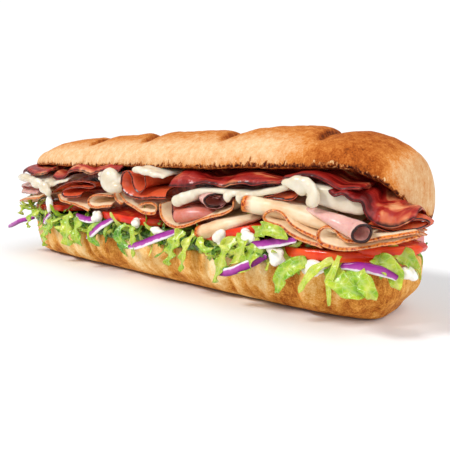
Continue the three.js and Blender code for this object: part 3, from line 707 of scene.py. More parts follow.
# Cooked ham: moist and pink with paler marbling, redder where it was cured deeper, nearly black rim.
cooked_ham, tree, places, edge, redness = finish_of("cooked_ham", "edge", "redness")
clouds = add(tree, "ShaderNodeTexNoise",
             {"Vector": places, "Scale": 90.0, "Detail": 4.0, "Roughness": 0.6})
veins = add(tree, "ShaderNodeTexNoise",
            {"Vector": places, "Scale": 260.0, "Detail": 3.0, "Distortion": 1.5})
cured = add(tree, "ShaderNodeMath", {0: clouds, 1: 0.7, 2: redness}, operation="MULTIPLY_ADD")
cured_more = add(tree, "ShaderNodeMath", {0: veins, 1: -0.35, 2: cured}, operation="MULTIPLY_ADD")
meat = add(tree, "ShaderNodeValToRGB", {"Fac": cured_more}, stops=[
    (0.15, "#e8bcb0"), (0.42, "#d2908a"), (0.68, "#d07058"), (0.92, "#dc643a"), (1.0, "#d05430")])
uneven_rim = add(tree, "ShaderNodeMath", {0: veins, 1: -0.7, 2: edge}, operation="MULTIPLY_ADD")
smoked = add(tree, "ShaderNodeMapRange", {0: uneven_rim, 1: -0.12, 2: 0.22, 3: 1.0, 4: 0.0})
coloured = add(tree, "ShaderNodeMix", {0: smoked, 6: meat, 7: linear("#2c0907")}, data_type="RGBA")
bump = add(tree, "ShaderNodeBump", {"Height": veins, "Strength": 0.3, "Distance": 0.0005})
lay_on(tree, {
    "Base Color": coloured.outputs[2], "Normal": bump, "Roughness": 0.26, "IOR": 1.42,
    "Specular IOR Level": 0.45,
    "Subsurface Weight": 0.25, "Subsurface Radius": (1.0, 0.3, 0.15), "Subsurface Scale": 0.004})

for index, route in enumerate(HAM_EDGES):
    loops, marks = folded_slice(route, HAM_SEEN_THICKNESS, 80 + index, reach=HAM_REACH[index],
                                gather=HAM_GATHER[index])
    marks["edge"] = marks["edge"] * HAM_RIM_THINNING[index]
    marks["redness"] = np.full(marks["edge"].shape, HAM_REDNESS[index])
    ham = skin(f"ham_{index + 1}", loops, cooked_ham, marks)
    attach(ham, "root")
    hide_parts(f"ham_slice_{index + 1}")


# ---- The pressed middle of the meat ----
# Behind the fronts of the slices, the folded ham is pressed together by the crown into one plain
# layered mass. It is seen only through the gaps between the slices.
MASS_HALF_LENGTH = 138
MASS_HALF_WIDTH = 19
MASS_BOTTOM = 34
# Its top is this high at these places along the loaf.
MASS_TOP_PLACES = [-138, 112, 138]
MASS_TOP_HEIGHTS = [72, 71, 61]
MASS_SQUARENESS = 0.4
MASS_RIDGES = 1.6

mass_x = np.linspace(-MASS_HALF_LENGTH, MASS_HALF_LENGTH, 220)[:, None]
mass_turn = full_turn(64)
mass_end = np.maximum(end_taper(mass_x / (MASS_HALF_LENGTH + 0.1), 6), 0.1)
mass_wide = MASS_HALF_WIDTH * mass_end * squared_off(np.cos(mass_turn), MASS_SQUARENESS)
mass_tall = mass_end * squared_off(np.sin(mass_turn), MASS_SQUARENESS)
mass_top = np.interp(mass_x, MASS_TOP_PLACES, MASS_TOP_HEIGHTS)
mass_z = 0.5 * (mass_top + MASS_BOTTOM) + 0.5 * (mass_top - MASS_BOTTOM) * mass_tall
mass = np.stack([mass_x + 0 * mass_turn, mass_wide, mass_z], -1)
layered = unevenness(mass * np.array([0.12, 0.12, 1.0]), 2.2, 91) + 0.7 * unevenness(mass, 7, 92)
mass[..., 1] += MASS_RIDGES * layered * np.sign(np.cos(mass_turn))
mass_redness = 0.45 + 0.5 * unevenness(mass * np.array([0.1, 0.1, 1.0]), 5, 93)
# Its dark-rim mark is lowest in the grooves between its layers, so they are painted nearly black: the
# layers' dark rims, and painted shade in the grooves.
pressed = skin("pressed_meat_middle", mass, cooked_ham,
               {"edge": 0.5 + 0.5 * layered, "redness": mass_redness})
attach(pressed, "root")
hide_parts("ham_slice_2", "ham_slice_3")


# ---- Turkey ----
# Nine slices of roast turkey breast, folded or rolled under the ham. The roasted and peppered outside
# of the breast leaves an orange-brown rim round each cream slice.
TURKEY_SEEN_THICKNESS = 1.4
TURKEY_EDGES = [
    [(-164, 38.6, 1.4, 2.4), (-159, 40.4, 1.4, 3.4), (-148, 42, 1.4, 3.6), (-132, 44.2, 1.4, 3.4),
     (-119, 45.6), (-106, 46.8)],
    [(-89, 50), (-87, 46.6), (-78, 45), (-66, 43.8), (-57, 42.4), (-50.5, 41)],
    [(-24, 52), (-32, 52.2), (-43, 51.8), (-49.6, 49.4), (-50.8, 46.2), (-47, 44), (-36, 44.4),
     (-25, 46)],
    [(-15, 47.6), (-19.8, 50), (-21.6, 53), (-19.4, 55.4), (-16.4, 54.4), (-13, 51.2), (-8, 48.2),
     (-1, 45.6), (6, 44), (12.6, 43.4), (16.8, 45), (17, 47.8), (13, 49.6), (6, 49.2), (1, 48)],
    [(20, 50.4), (20.4, 46), (22.4, 41.8), (27, 38.9), (33, 37.9), (39, 38.7), (46, 41), (54, 44.4),
     (63, 46.8), (70, 48.8), (73.4, 51.8), (74, 55)],
    [(77, 47.8), (68, 45.4), (58, 42.4), (51, 39.6), (48.8, 36.8), (51.4, 34.8), (57, 36.6),
     (63.5, 40.2), (70, 42.8), (76, 44.8)],
    [(122, 49.8), (110, 52), (100, 53.8), (90, 55.2), (83, 55.4), (78.4, 53.4), (78.2, 51), (82, 49.2),
     (88, 49.8), (94, 51), (100, 50.6), (106, 48.8), (112, 47.2), (120, 46.2), (132, 45)],
    [(125, 37.6), (119, 40.6), (112.5, 43.4), (107.8, 46.1), (104.6, 48.9), (102, 51), (99.5, 52),
     (96, 51.8), (93.4, 50.4), (92.6, 48.4), (94, 46.6), (97, 45.7), (101, 45), (105.8, 42.7),
     (110.6, 40.5), (116, 38.5), (123, 37)],
    [(159, 46.4), (151, 44.6), (144, 42.6), (139, 41.6), (134, 41.6), (130.5, 43.4), (128, 45.8),
     (124.5, 46.6), (121.6, 45), (120.4, 42), (121.6, 39.4), (126.8, 38), (133, 37.7), (139, 38.7),
     (145, 40.2), (152, 42), (159.4, 44.6)],
]
# For each slice: how far it reaches out, and how much it is gathered together inside.
TURKEY_REACH = (7.0, 1.0, 1.5, 2.0, 2.5, -9.0, -9.0, 3.8, 5.2)
TURKEY_GATHER = (0.0, 0.2, 0.5, 0.5, 0.3, 0.0, 0.0, 0.4, 0.4)

# Roast turkey breast: cream and slightly fibrous, moist, with a browned rim flecked with pepper.
roast_turkey, tree, places, edge = finish_of("roast_turkey", "edge")
stretched = add(tree, "ShaderNodeMapping", {"Vector": places, "Scale": (0.3, 1.0, 1.0)})
fibres = add(tree, "ShaderNodeTexNoise",
             {"Vector": stretched, "Scale": 420.0, "Detail": 4.0, "Roughness": 0.6})
clouds = add(tree, "ShaderNodeTexNoise", {"Vector": places, "Scale": 75.0, "Detail": 3.0})
fibrous = add(tree, "ShaderNodeMath", {0: fibres, 1: 0.6, 2: clouds}, operation="MULTIPLY_ADD")
meat = add(tree, "ShaderNodeValToRGB", {"Fac": fibrous}, stops=[
    (0.45, "#dcab7c"), (0.75, "#eecda4"), (1.0, "#f6e2c4")])
uneven_rim = add(tree, "ShaderNodeMath", {0: clouds, 1: -0.8, 2: edge}, operation="MULTIPLY_ADD")
roasted = add(tree, "ShaderNodeMapRange", {0: uneven_rim, 1: -0.05, 2: 0.5, 3: 1.0, 4: 0.0})
rim = add(tree, "ShaderNodeTexNoise", {"Vector": places, "Scale": 900.0, "Detail": 2.0})
rim_tone = add(tree, "ShaderNodeValToRGB", {"Fac": rim}, stops=[
    (0.38, "#8a2c0c"), (0.46, "#c65a1a"), (0.62, "#e0862e")])
coloured = add(tree, "ShaderNodeMix", {0: roasted, 6: meat, 7: rim_tone}, data_type="RGBA")
bump = add(tree, "ShaderNodeBump", {"Height": fibres, "Strength": 0.3, "Distance": 0.0005})
lay_on(tree, {
    "Base Color": coloured.outputs[2], "Normal": bump, "Roughness": 0.36, "IOR": 1.42,
    "Specular IOR Level": 0.3,
    "Subsurface Weight": 0.12, "Subsurface Radius": (0.5, 0.35, 0.2), "Subsurface Scale": 0.003})

for index, route in enumerate(TURKEY_EDGES):
    loops, marks = folded_slice(route, TURKEY_SEEN_THICKNESS, 100 + index, reach=TURKEY_REACH[index],
                                gather=TURKEY_GATHER[index])
    turkey = skin(f"turkey_{index + 1}", loops, roast_turkey, marks)
    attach(turkey, "root")
    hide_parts(f"turkey_slice_{index + 1}")


# ---- Tomato ----
# Five thick slices of ripe tomato that lean on each other over the lettuce. Each one's outer rim is
# glossy skin, and the cut faces are wet red flesh.
TOMATO_THICKNESS = 4.6
TOMATO_EDGES = [
    [(-156, 37.4), (-138, 37.8), (-104, 39), (-82, 39.8)],
    [(-50, 39), (-36, 39.4), (0, 38.4), (17, 37.6)],
    [(44, 34.6), (60, 36.0), (72, 38.6), (84, 41.4), (96, 42.4)],
    [(92, 32.8), (104, 33.2), (125, 33.6), (148, 34.4)],
    [(128, 36.2), (140, 36.6), (150, 37.2), (157, 37.8)],
]
# How far each slice reaches out.
TOMATO_REACH = (-3.0, 2.5, 2.5, 3.0, 0.0)

# Ripe tomato: smooth orange-red skin with a waxy gloss, and darker juicy flesh on the cut faces.
ripe_tomato, tree, places, depth = finish_of("ripe_tomato", "depth")
clouds = add(tree, "ShaderNodeTexNoise", {"Vector": places, "Scale": 60.0, "Detail": 3.0})
cells = add(tree, "ShaderNodeTexVoronoi", {"Vector": places, "Scale": 230.0})
skin_tone = add(tree, "ShaderNodeValToRGB", {"Fac": clouds}, stops=[
    (0.35, "#d02210"), (0.5, "#e63c16"), (0.68, "#f2642a")])
flesh_tone = add(tree, "ShaderNodeValToRGB", {"Fac": cells.outputs["Distance"]}, stops=[
    (0.1, "#e8642f"), (0.5, "#cc2c1c")])
peeled = add(tree, "ShaderNodeMapRange", {0: depth, 1: 0.3, 2: 1.2})
coloured = add(tree, "ShaderNodeMix", {0: peeled, 6: skin_tone, 7: flesh_tone}, data_type="RGBA")
bump = add(tree, "ShaderNodeBump",
           {"Height": cells.outputs["Distance"], "Strength": 0.08, "Distance": 0.0004})
lay_on(tree, {
    "Base Color": coloured.outputs[2], "Normal": bump, "Roughness": 0.16, "IOR": 1.4,
    "Subsurface Weight": 0.15, "Subsurface Radius": (0.8, 0.15, 0.05), "Subsurface Scale": 0.004})

for index, route in enumerate(TOMATO_EDGES):
    middle = (route[0][0] + route[-1][0]) / 2
    reach_along = (route[-1][0] - route[0][0]) / 2 + 2
    loops, marks = folded_slice(
        route, TOMATO_THICKNESS, 120 + index, droop=0.6, reach=TOMATO_REACH[index], ragged=0.3, wave=0.2,
        rim_share=0.62, bulk=0.5,
        roundness=lambda x: np.maximum(end_taper((x - middle) / reach_along, 3), 0.2))
    tomato = skin(f"tomato_{index + 1}", loops, ripe_tomato, marks)
    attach(tomato, "root")
    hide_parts(f"tomato_slice_{index + 1}")


# ---- Rolled slices ----
# Some slices were rolled up tight and lie along the loaf: two rolls of turkey and three of ham. Each is
# one thin wall wound into a tube that tapers away from its open mouth.
ROLL_WALL = 1.1
ROLL_MOUTH_DEPTH = 12
ROLL_CLOSING = 5
ROLL_STEP = 0.7


def rolled_slice(route, seed):
    """Rings along a tapering tube from its closed end to its open mouth and back down inside it.
    The route gives x, distance out, height, and the tube's half height and half depth."""
    line, reached = smooth_line([(x, -out, z, tall, deep) for x, out, z, tall, deep in route], ROLL_STEP)
    run = unit(np.gradient(line[:, :3], axis=0))
    sideways = unit(np.cross(run, (0, 0, 1.0)))
    upward = np.cross(sideways, run)
    turn = full_turn(72)
    from_mouth = (reached[-1] - reached)[:, None]
    closing = rounding(reached / ROLL_CLOSING, 0.03)[:, None]
    bumps = np.stack([reached[:, None] + 0 * turn, 3 * np.cos(turn) + 0 * from_mouth,
                      3 * np.sin(turn) + 0 * from_mouth], -1)
    uneven = 1 + 0.05 * unevenness(bumps, 6, seed) + 0.02 * unevenness(bumps, 2.5, seed + 1)
    mouth_places = np.stack([2.2 * np.cos(turn), 2.2 * np.sin(turn), 0 * turn + seed], -1)
    mouth_wave = 0.8 * unevenness(mouth_places, 1.6, seed)

    def rings(shrink, count):
        """The last rings of the tube, this much smaller all round than its outside."""
        tall = np.maximum(line[:, 3:4] * closing * uneven - shrink, 0.15)
        deep = np.maximum(line[:, 4:5] * closing * uneven - shrink, 0.15)
        slid = run[:, None, :] * (mouth_wave * np.exp(-from_mouth / 4))[..., None]
        made = (line[:, None, :3] + sideways[:, None, :] * (np.cos(turn) * deep)[..., None]
                + upward[:, None, :] * (np.sin(turn) * tall)[..., None] + slid)
        return made[-count:]

    depth_count = min(len(line) - 2, int(ROLL_MOUTH_DEPTH / ROLL_STEP))
    outer = rings(0, len(line))
    lip = outer[-1:] * 0.5 + rings(ROLL_WALL, 1) * 0.5 + run[-1] * 0.25
    inner = rings(ROLL_WALL, depth_count)[::-1]
    edge = np.concatenate([from_mouth, [[0.0]], from_mouth[-depth_count:][::-1] * 0.8]) + 0 * turn
    return np.concatenate([outer, lip, inner]), edge


# The routes of the rolls, each under the number of its slice.
ROLLED_TURKEY = {
    6: [(84, 30, 47.5, 1.4, 4), (78, 34, 46.0, 2.4, 5), (71, 37, 43.8, 3.4, 5.4),
        (64, 38.8, 41.4, 3.9, 5.6), (57, 39.8, 39.0, 3.9, 5.6), (50.2, 40.4, 37.0, 3.7, 5.2)],
    7: [(139, 33, 43.2, 1.2, 4), (131, 34.5, 45.2, 2.4, 5), (121, 34.5, 47.9, 3.8, 5.6),
        (111, 35, 50.2, 4.6, 6), (101, 35.5, 52.0, 4.9, 6), (91, 37, 53.2, 4.9, 5.6),
        (84, 39.5, 53.9, 4.6, 5), (79.6, 40.5, 54.2, 4.2, 4.4)],
}
ROLLED_HAM = {
    4: [(60, 33, 45.8, 1.0, 3), (55, 36, 46.8, 2.4, 4), (49, 38.5, 47.0, 3.2, 4.6),
        (43, 40, 46.2, 3.7, 4.8), (37, 41, 45.0, 3.9, 4.4), (33.4, 41.6, 44.4, 3.6, 3.8)],
    5: [(45, 33, 55.4, 1.6, 3.0), (50, 35, 55.2, 2.8, 5), (54.5, 37, 55, 3.4, 6.4),
        (58.5, 39.5, 54.8, 3.8, 6.8), (62, 41.5, 54.6, 3.8, 6.8)],
    7: [(112, 36, 54.0, 0.8, 3), (119, 38, 52.2, 1.7, 4), (127, 39.5, 50.0, 2.8, 4.6),
        (134, 40.6, 47.8, 3.7, 4.8), (138.6, 42.0, 46.8, 4.0, 4.6), (142, 44.4, 46.0, 4.1, 4.6)],
}
ROLLED_HAM_REDNESS = {4: 0.4, 5: 0.12, 7: 0.05}
TURKEY_RIM_SPREAD = 0.2
for index, route in ROLLED_TURKEY.items():
    loops, edge = rolled_slice(route, 140 + index)
    roll = skin(f"turkey_roll_{index}", loops, roast_turkey, {"edge": edge * TURKEY_RIM_SPREAD})
    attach(roll, "root")
    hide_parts(f"turkey_slice_{index}")
for index, route in ROLLED_HAM.items():
    loops, edge = rolled_slice(route, 150 + index)
    redness = np.full(edge.shape, ROLLED_HAM_REDNESS[index])
    roll = skin(f"ham_roll_{index}", loops, cooked_ham, {"edge": edge, "redness": redness})
    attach(roll, "root")
    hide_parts(f"ham_slice_{index}")


# ---- Cheese ----
# Five slices of mild white cheese that melted over the meat. Their fronts ran into thick soft lumps,
# a swirl and hanging drips.
CHEESE_THICKNESS = 2.4
CHEESE_EDGES = [
    [(-153, 58, 3), (-143, 58.6, 3.6), (-130, 58.6, 3), (-114, 58.2, 3), (-104, 57.6, 3.6),
     (-96, 56.4, 3.6), (-88, 58, 2.6), (-76, 60, 2.2)],
    [(-40, 63, 2.4), (-32, 62, 6), (-25, 61.2, 8), (-18.6, 61.0, 6), (-12, 62, 2.4)],
    [(0, 69, 2.0), (7, 68.4, 2.8), (14, 67.2, 2.8), (24, 64.6, 2.0)],
    [(33, 53, 4), (37, 53.6, 6), (44, 56, 6.2), (49.2, 58, 3.8), (55, 58.8, 3), (65, 59, 2.6),
     (71, 58.6, 3), (76, 58.6, 3.4), (82, 58.4, 3), (90, 59.6, 3), (98, 61.2, 3.2), (104.7, 63, 3)],
    [(112, 62.0, 5.0), (118.6, 59.4, 8.4), (123, 58.3, 9), (127, 57.4, 9), (131, 56.5, 8.8),
     (135, 55.6, 8.2), (138, 54.9, 7), (140, 54.4, 5.6)],
]
# For each slice: how far it reaches out, and how far it droops behind its edge.
CHEESE_REACH = (1.0, 1.5, 2.0, 2.5, 1.6)
CHEESE_DROOP = (5.5, 3.0, 3.0, 1.0, 2.2)
CHEESE_GRAIN = 0.6
# Each lump gives x, distance out, height, and its half sizes along, across and up.
CHEESE_LUMPS = [
    [(-131, 42, 61.0, 9, 4, 3.4), (-122, 42, 60, 7, 4, 2.6), (-112, 42.8, 57.4, 8, 3.2, 4.2),
     (-101, 43.6, 54.6, 6, 3, 4.6), (-96, 43.6, 51.6, 3.6, 2.4, 3.6)],
    [(-24, 42.6, 62.2, 8.0, 5.2, 8.0), (-16, 43.6, 58.0, 5.0, 3.6, 3.6),
     (-31.5, 42.4, 65.6, 4.6, 3, 2.2), (-21, 43.8, 57.2, 5.0, 3.4, 3.2)],
    [(3, 42.4, 69.0, 5.5, 3.2, 2.4), (10, 42.8, 68.0, 6, 3.0, 2.4), (17, 42.2, 66.4, 5, 2.6, 1.8)],
    [(36, 43.4, 53, 4.2, 3.2, 3.6), (40.5, 43.4, 54.6, 4.2, 3.2, 3.6), (70.5, 42.8, 57, 2.8, 2.2, 2.6),
     (71, 43, 55.6, 1.7, 1.7, 2.0), (78, 42.8, 56.6, 2.4, 2.0, 2.4), (78.6, 43, 55, 1.3, 1.3, 1.8)],
    [(106, 42.6, 65.0, 4.4, 2.8, 2.2), (110.5, 43, 66.4, 3.8, 2.8, 2.3),
     (114.6, 43.2, 65.8, 3.4, 2.8, 2.4), (117.6, 43.4, 63.4, 2.9, 2.8, 2.9),
     (119.4, 43.6, 60.2, 2.8, 2.8, 3.2), (119.0, 44.0, 57.4, 3.4, 3.0, 3.0),
     (112.6, 42.4, 61.8, 3.2, 2.6, 2.6), (109, 42.6, 63.6, 3.4, 2.4, 2.2)],
]

# Melted white cheese: smooth, fatty and glossy, cream coloured, letting a little light in.
melted_cheese, tree, places = finish_of("melted_cheese")
clouds = add(tree, "ShaderNodeTexNoise", {"Vector": places, "Scale": 120.0, "Detail": 3.0})
curds = add(tree, "ShaderNodeTexNoise", {"Vector": places, "Scale": 340.0, "Detail": 4.0})
cream = add(tree, "ShaderNodeValToRGB", {"Fac": clouds}, stops=[
    (0.35, "#d6c6aa"), (0.5, "#e0d5be"), (0.7, "#e9e1d0")])
bump = add(tree, "ShaderNodeBump", {"Height": curds, "Strength": 0.05, "Distance": 0.0004})
lay_on(tree, {
    "Base Color": cream, "Normal": bump, "Roughness": 0.3, "IOR": 1.45,
    "Coat Weight": 0.6, "Coat Roughness": 0.07,
    "Subsurface Weight": 0.3, "Subsurface Radius": (0.8, 0.6, 0.35), "Subsurface Scale": 0.004})


def made_plain(source, name):
    """A new object with the plain mesh that the source's modifiers make. The source is removed."""
    evaluated = source.evaluated_get(bpy.context.evaluated_depsgraph_get())
    mesh = bpy.data.meshes.new_from_object(evaluated)
    bpy.data.objects.remove(source)
    mesh.name = name
    made = bpy.data.objects.new(name, mesh)
    scene.collection.objects.link(made)
    return made


def melted(name, objects, lumps, grain, material, softness=34):
    """One smooth closed piece made of these objects and round lumps, run together on a grid this fine."""
    body = bmesh.new()
    for piece in objects:
        body.from_mesh(piece.data)
        bpy.data.objects.remove(piece)
    for x, out, z, along, deep, tall in lumps:
        size = Matrix.Diagonal((along * MM, deep * MM, tall * MM, 1))
        place = Matrix.Translation(Vector((x, -out, z)) * MM) @ size
        bmesh.ops.create_icosphere(body, subdivisions=3, radius=1, matrix=place)
    rough = bpy.data.meshes.new(name + "_rough")
    body.to_mesh(rough)
    body.free()
    source = bpy.data.objects.new(name + "_rough", rough)
    scene.collection.objects.link(source)
    remesh = source.modifiers.new("run_together", "REMESH")
    remesh.mode = "VOXEL"
    remesh.voxel_size = grain * MM
    remesh.use_smooth_shade = True
    smooth = source.modifiers.new("soften", "SMOOTH")
    smooth.factor = 0.5
    smooth.iterations = softness
    made = made_plain(source, name)
    made.data.materials.clear()
    made.data.materials.append(material)
    made.data.polygons.foreach_set("use_smooth", [True] * len(made.data.polygons))
    return made


for index, (route, lumps) in enumerate(zip(CHEESE_EDGES, CHEESE_LUMPS)):
    loops = folded_slice(route, CHEESE_THICKNESS, 160 + index, reach=CHEESE_REACH[index], rim_share=0.7,
                         droop=CHEESE_DROOP[index], droop_run=6, bulk=0)[0]
    sheet = skin("cheese_sheet", loops, melted_cheese, {})
    cheese = melted(f"cheese_{index + 1}", [sheet], lumps, CHEESE_GRAIN, melted_cheese)
    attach(cheese, "root")
    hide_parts(f"cheese_slice_{index + 1}")


# ---- Sauce ----
# Nine lumps of thick white egg sauce, spooned on to the lettuce and left glossy. Each lump is a few
# blobs that ran together.
SAUCE_GRAIN = 0.3
SAUCE_SOFTNESS = 9
BLOBS_PER_LUMP = 6
# Each lump gives x, distance out, height, and its half sizes along, across and up.
DOLLOPS = [
    (-97, 43.6, 44, 2.6, 2.2, 8.5),
    (-38, 44, 38.6, 5.2, 2.8, 4.2),
    (0, 44.4, 37.6, 4.4, 2.6, 3),
    (19, 44.4, 34.6, 5, 2.6, 3),
    (65.5, 44.8, 36.6, 3.6, 2.4, 4.6),
    (84, 44, 37.6, 6, 2.8, 4.4),
    (100, 44.4, 31.4, 5, 3, 5),
    (119, 43.4, 27.8, 7, 2.6, 3.2),
    (154, 28, 28.4, 4, 3.6, 3.2),
]

# Thick egg sauce: bright white with a faint cream tint, wet and a little translucent.
white_sauce, tree, places = finish_of("white_sauce")
clouds = add(tree, "ShaderNodeTexNoise", {"Vector": places, "Scale": 160.0, "Detail": 3.0})
pearly = add(tree, "ShaderNodeValToRGB", {"Fac": clouds}, stops=[
    (0.35, "#ece2d0"), (0.55, "#f8f3e8"), (0.75, "#fdfaf4")])
ripple = add(tree, "ShaderNodeTexNoise", {"Vector": places, "Scale": 280.0, "Detail": 2.0})
bump = add(tree, "ShaderNodeBump", {"Height": ripple, "Strength": 0.2, "Distance": 0.0006})
lay_on(tree, {
    "Base Color": pearly, "Normal": bump, "Roughness": 0.25, "IOR": 1.47,
    "Coat Weight": 0.6, "Coat Roughness": 0.06,
    "Subsurface Weight": 0.3, "Subsurface Radius": (0.7, 0.6, 0.5), "Subsurface Scale": 0.003})

lump_draw = random.Random(7)
for index, (x, out, z, along, deep, tall) in enumerate(DOLLOPS):
    blobs = [(x, out - 1.2, z, 0.75 * along, 0.9 * deep, 0.75 * tall)]
    for _ in range(BLOBS_PER_LUMP):
        share = lump_draw.uniform(0.3, 0.55)
        blobs.append((x + lump_draw.uniform(-0.65, 0.65) * along, out - lump_draw.uniform(0.1, 1.0) * deep,
                      z + lump_draw.uniform(-0.6, 0.6) * tall, share * along + 0.5, share * deep + 0.6,
                      share * tall + 0.5))
    dollop = melted(f"sauce_{index + 1}", [], blobs, SAUCE_GRAIN, white_sauce, SAUCE_SOFTNESS)
    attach(dollop, "root")
    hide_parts(f"sauce_dollop_{index + 1}")


# ---- Onion ----
# Eight slivers cut across a red onion lie over the front of the lettuce: pale moist flesh with one
# purple side, where the layer's skin was.
ONION_THICKNESS = 1.9
ONION_WIDTH = 4.3
ONION_END_SHARE = 0.62
ONION_TAPER_LENGTH = 9
# The broad faces look out and slightly up.
ONION_FACING = np.array([0, -1.0, 0.15])
# These slivers lie with their purple side down.
ONION_SKIN_BELOW = (0, 5)
# Each sliver's route gives x, distance out and height.
ONION_ROUTES = [
    [(-164, 41, 20.5), (-150, 43, 24.5), (-137, 43, 28.5), (-124, 40, 31)],
    [(-97, 42, 36), (-101, 43.6, 32.5), (-103.5, 43.4, 28)],
    [(-64, 41.4, 37.6), (-54, 43.8, 36.4), (-45, 43.8, 36), (-36, 41.4, 36.8)],
    [(-49, 44, 24), (-40, 46, 28), (-31, 46, 33.5), (-22, 42.4, 38.4)],
    [(-5, 44.6, 23), (7, 46.4, 26), (22, 46.2, 31.6), (36, 42, 36.8)],
    [(65, 44.4, 18), (76, 46.6, 21), (86, 46.8, 25.6), (95, 43, 30.6)],
    [(82, 42.6, 33.8), (91, 44.6, 35.6), (100, 44.4, 37.6), (110, 41.6, 39.6)],
    [(132, 42, 31), (140, 40.4, 31.4), (147, 36.6, 30.2), (152, 31, 27)],
]

# Red onion: wet pearly flesh with faint lengthwise fibres, and vivid purple skin.
red_onion, tree, places, skin_side = finish_of("red_onion", "skin_side")
clouds = add(tree, "ShaderNodeTexNoise", {"Vector": places, "Scale": 260.0, "Detail": 3.0})
soft_side = add(tree, "ShaderNodeMath", {0: clouds, 1: 0.3, 2: skin_side}, operation="MULTIPLY_ADD")
tone = add(tree, "ShaderNodeValToRGB", {"Fac": soft_side}, stops=[
    (0.34, "#f3edf1"), (0.48, "#e6d0e2"), (0.55, "#b450a8"), (0.8, "#98248c"), (1.0, "#78146e")])
bump = add(tree, "ShaderNodeBump", {"Height": clouds, "Strength": 0.15, "Distance": 0.0004})
lay_on(tree, {
    "Base Color": tone, "Normal": bump, "Roughness": 0.22, "IOR": 1.4,
    "Subsurface Weight": 0.2, "Subsurface Radius": (0.6, 0.4, 0.6), "Subsurface Scale": 0.002})

for index, route in enumerate(ONION_ROUTES):
    line, reached = smooth_line([(x, -out, z) for x, out, z in route], 0.6)
    run = unit(np.gradient(line, axis=0))
    outward = unit(ONION_FACING - run * (run @ ONION_FACING)[:, None])
    upward = np.cross(outward, run)
    upward *= np.sign(upward[:, 2:3] + 1e-9)
    turn = full_turn(28)
    from_end = np.minimum(reached, reached[-1] - reached)[:, None]
    taper = ONION_END_SHARE + (1 - ONION_END_SHARE) * smooth_step(from_end, 0, ONION_TAPER_LENGTH)
    rounded = rounding(from_end / 0.6, 0.05)
    wide = 0.5 * ONION_WIDTH * taper * squared_off(np.sin(turn), 0.6) * rounded
    deep = 0.5 * ONION_THICKNESS * squared_off(np.cos(turn), 0.7) * rounded
    loops = line[:, None, :] + upward[:, None, :] * wide[..., None] + outward[:, None, :] * deep[..., None]
    loops = loops + 0.12 * unevenness(loops, 3, 170 + index)[..., None]
    purple = 0.5 + 0.5 * np.sin(turn) * (-1 if index in ONION_SKIN_BELOW else 1) + 0 * from_end
    sliver = skin(f"onion_{index + 1}", loops, red_onion, {"skin_side": purple})
    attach(sliver, "root")
    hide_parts(f"onion_sliver_{index + 1}")


# ---- Lettuce ----
# Crisp green lettuce cut into ribbons and heaped in the heel: it curls out over the rim all round.
# A packed core is covered by scattered ribbons, with larger leaves laid one by one along the front.
HEAP_HALF_LENGTH = 152
HEAP_HALF_WIDTH = 44
HEAP_SHIFT = -5
HEAP_FRONT_SHARE = 0.965
HEAP_BACK_SHARE = 0.82
HEAP_FAR_RISE = 5
LEAF_THICKNESS = 0.35
BROAD_LEAF = 9
# A leaf's edge waves, ripples and is notched at about these distances.
LEAF_WAVE = 9.5
LEAF_RIPPLE = 9.1
LEAF_NOTCH = 6.3


def ribbon(route, width, seed, stations=21, cells=4, frill=0.9, cup=0.25, lean=(0.1, 0.2, 1.0)):
    """Rings along a thin frilly ribbon that follows a route of x, y, z places, with its leaf marks."""
    line, reached = smooth_line(route, 0.25)
    picked = np.linspace(0, len(line) - 1, stations).round().astype(int)
    run = unit(np.gradient(line, axis=0)[picked])
    line, reached = line[picked], reached[picked]
    share = reached / reached[-1]
    sideways = unit(np.cross(run, lean))
    facing = np.cross(sideways, run)
    v = np.linspace(-1, 1, cells + 1)[None, :]
    phase = seed * 1.7 + np.sign(v) * 1.3
    wavelength = LEAF_WAVE + 3.0 * math.sin(seed)
    turns = reached[:, None] * 2 * math.pi
    ruffle = np.sin(turns / wavelength + phase) + 0.5 * np.sin(turns / LEAF_RIPPLE + 2 * phase)
    ruffle = frill * np.abs(v) ** 2 * ruffle
    notched = 1 + 0.08 * np.sin(turns / LEAF_NOTCH + 2.3 * phase)
    blunt = 0.8 if width > BROAD_LEAF else 0.3
    outline = width * (blunt + (1 - blunt) * np.sin(math.pi * np.clip(0.18 + 0.78 * share, 0, 1)))[:, None]
    outline = outline * np.sqrt(np.clip((1.02 - share) * 8, 0, 1))[:, None]
    half = 0.5 * outline * notched
    middle = (line[:, None, :] + sideways[:, None, :] * (v * half)[..., None]
              + facing[:, None, :] * (ruffle + cup * half * v ** 2)[..., None])
    offset = facing[:, None, :] * (0.5 * LEAF_THICKNESS)
    loops = np.concatenate([middle + offset, (middle - offset)[:, ::-1]], 1)
    rib = np.broadcast_to(1 - np.abs(v), (stations, cells + 1))
    return loops, {"rib": np.concatenate([rib, rib[:, ::-1]], 1)}


# Fresh lettuce: crisp and moist, yellow-green ruffled edges, deeper green between pale watery ribs.
fresh_lettuce, tree, places, rib, shade = finish_of("fresh_lettuce", "rib", "shade")
clouds = add(tree, "ShaderNodeTexNoise",
             {"Vector": places, "Scale": 190.0, "Detail": 4.0, "Roughness": 0.6})
veins = add(tree, "ShaderNodeTexVoronoi", {"Vector": places, "Scale": 330.0}, feature="DISTANCE_TO_EDGE")
mottled = add(tree, "ShaderNodeMath", {0: clouds, 1: 1.4, 2: shade}, operation="MULTIPLY_ADD")
greens = add(tree, "ShaderNodeValToRGB", {"Fac": mottled}, stops=[
    (0.12, "#2a5c0e"), (0.34, "#5c981e"), (0.58, "#98ba28"), (0.82, "#bccc3c"), (1.0, "#d8e068")])
veined = add(tree, "ShaderNodeMapRange", {0: veins.outputs["Distance"], 1: 0.0, 2: 0.08, 3: 0.24, 4: 0.0})
pale = add(tree, "ShaderNodeMapRange", {0: rib, 1: 0.7, 2: 1.0, 3: 0.0, 4: 0.22})
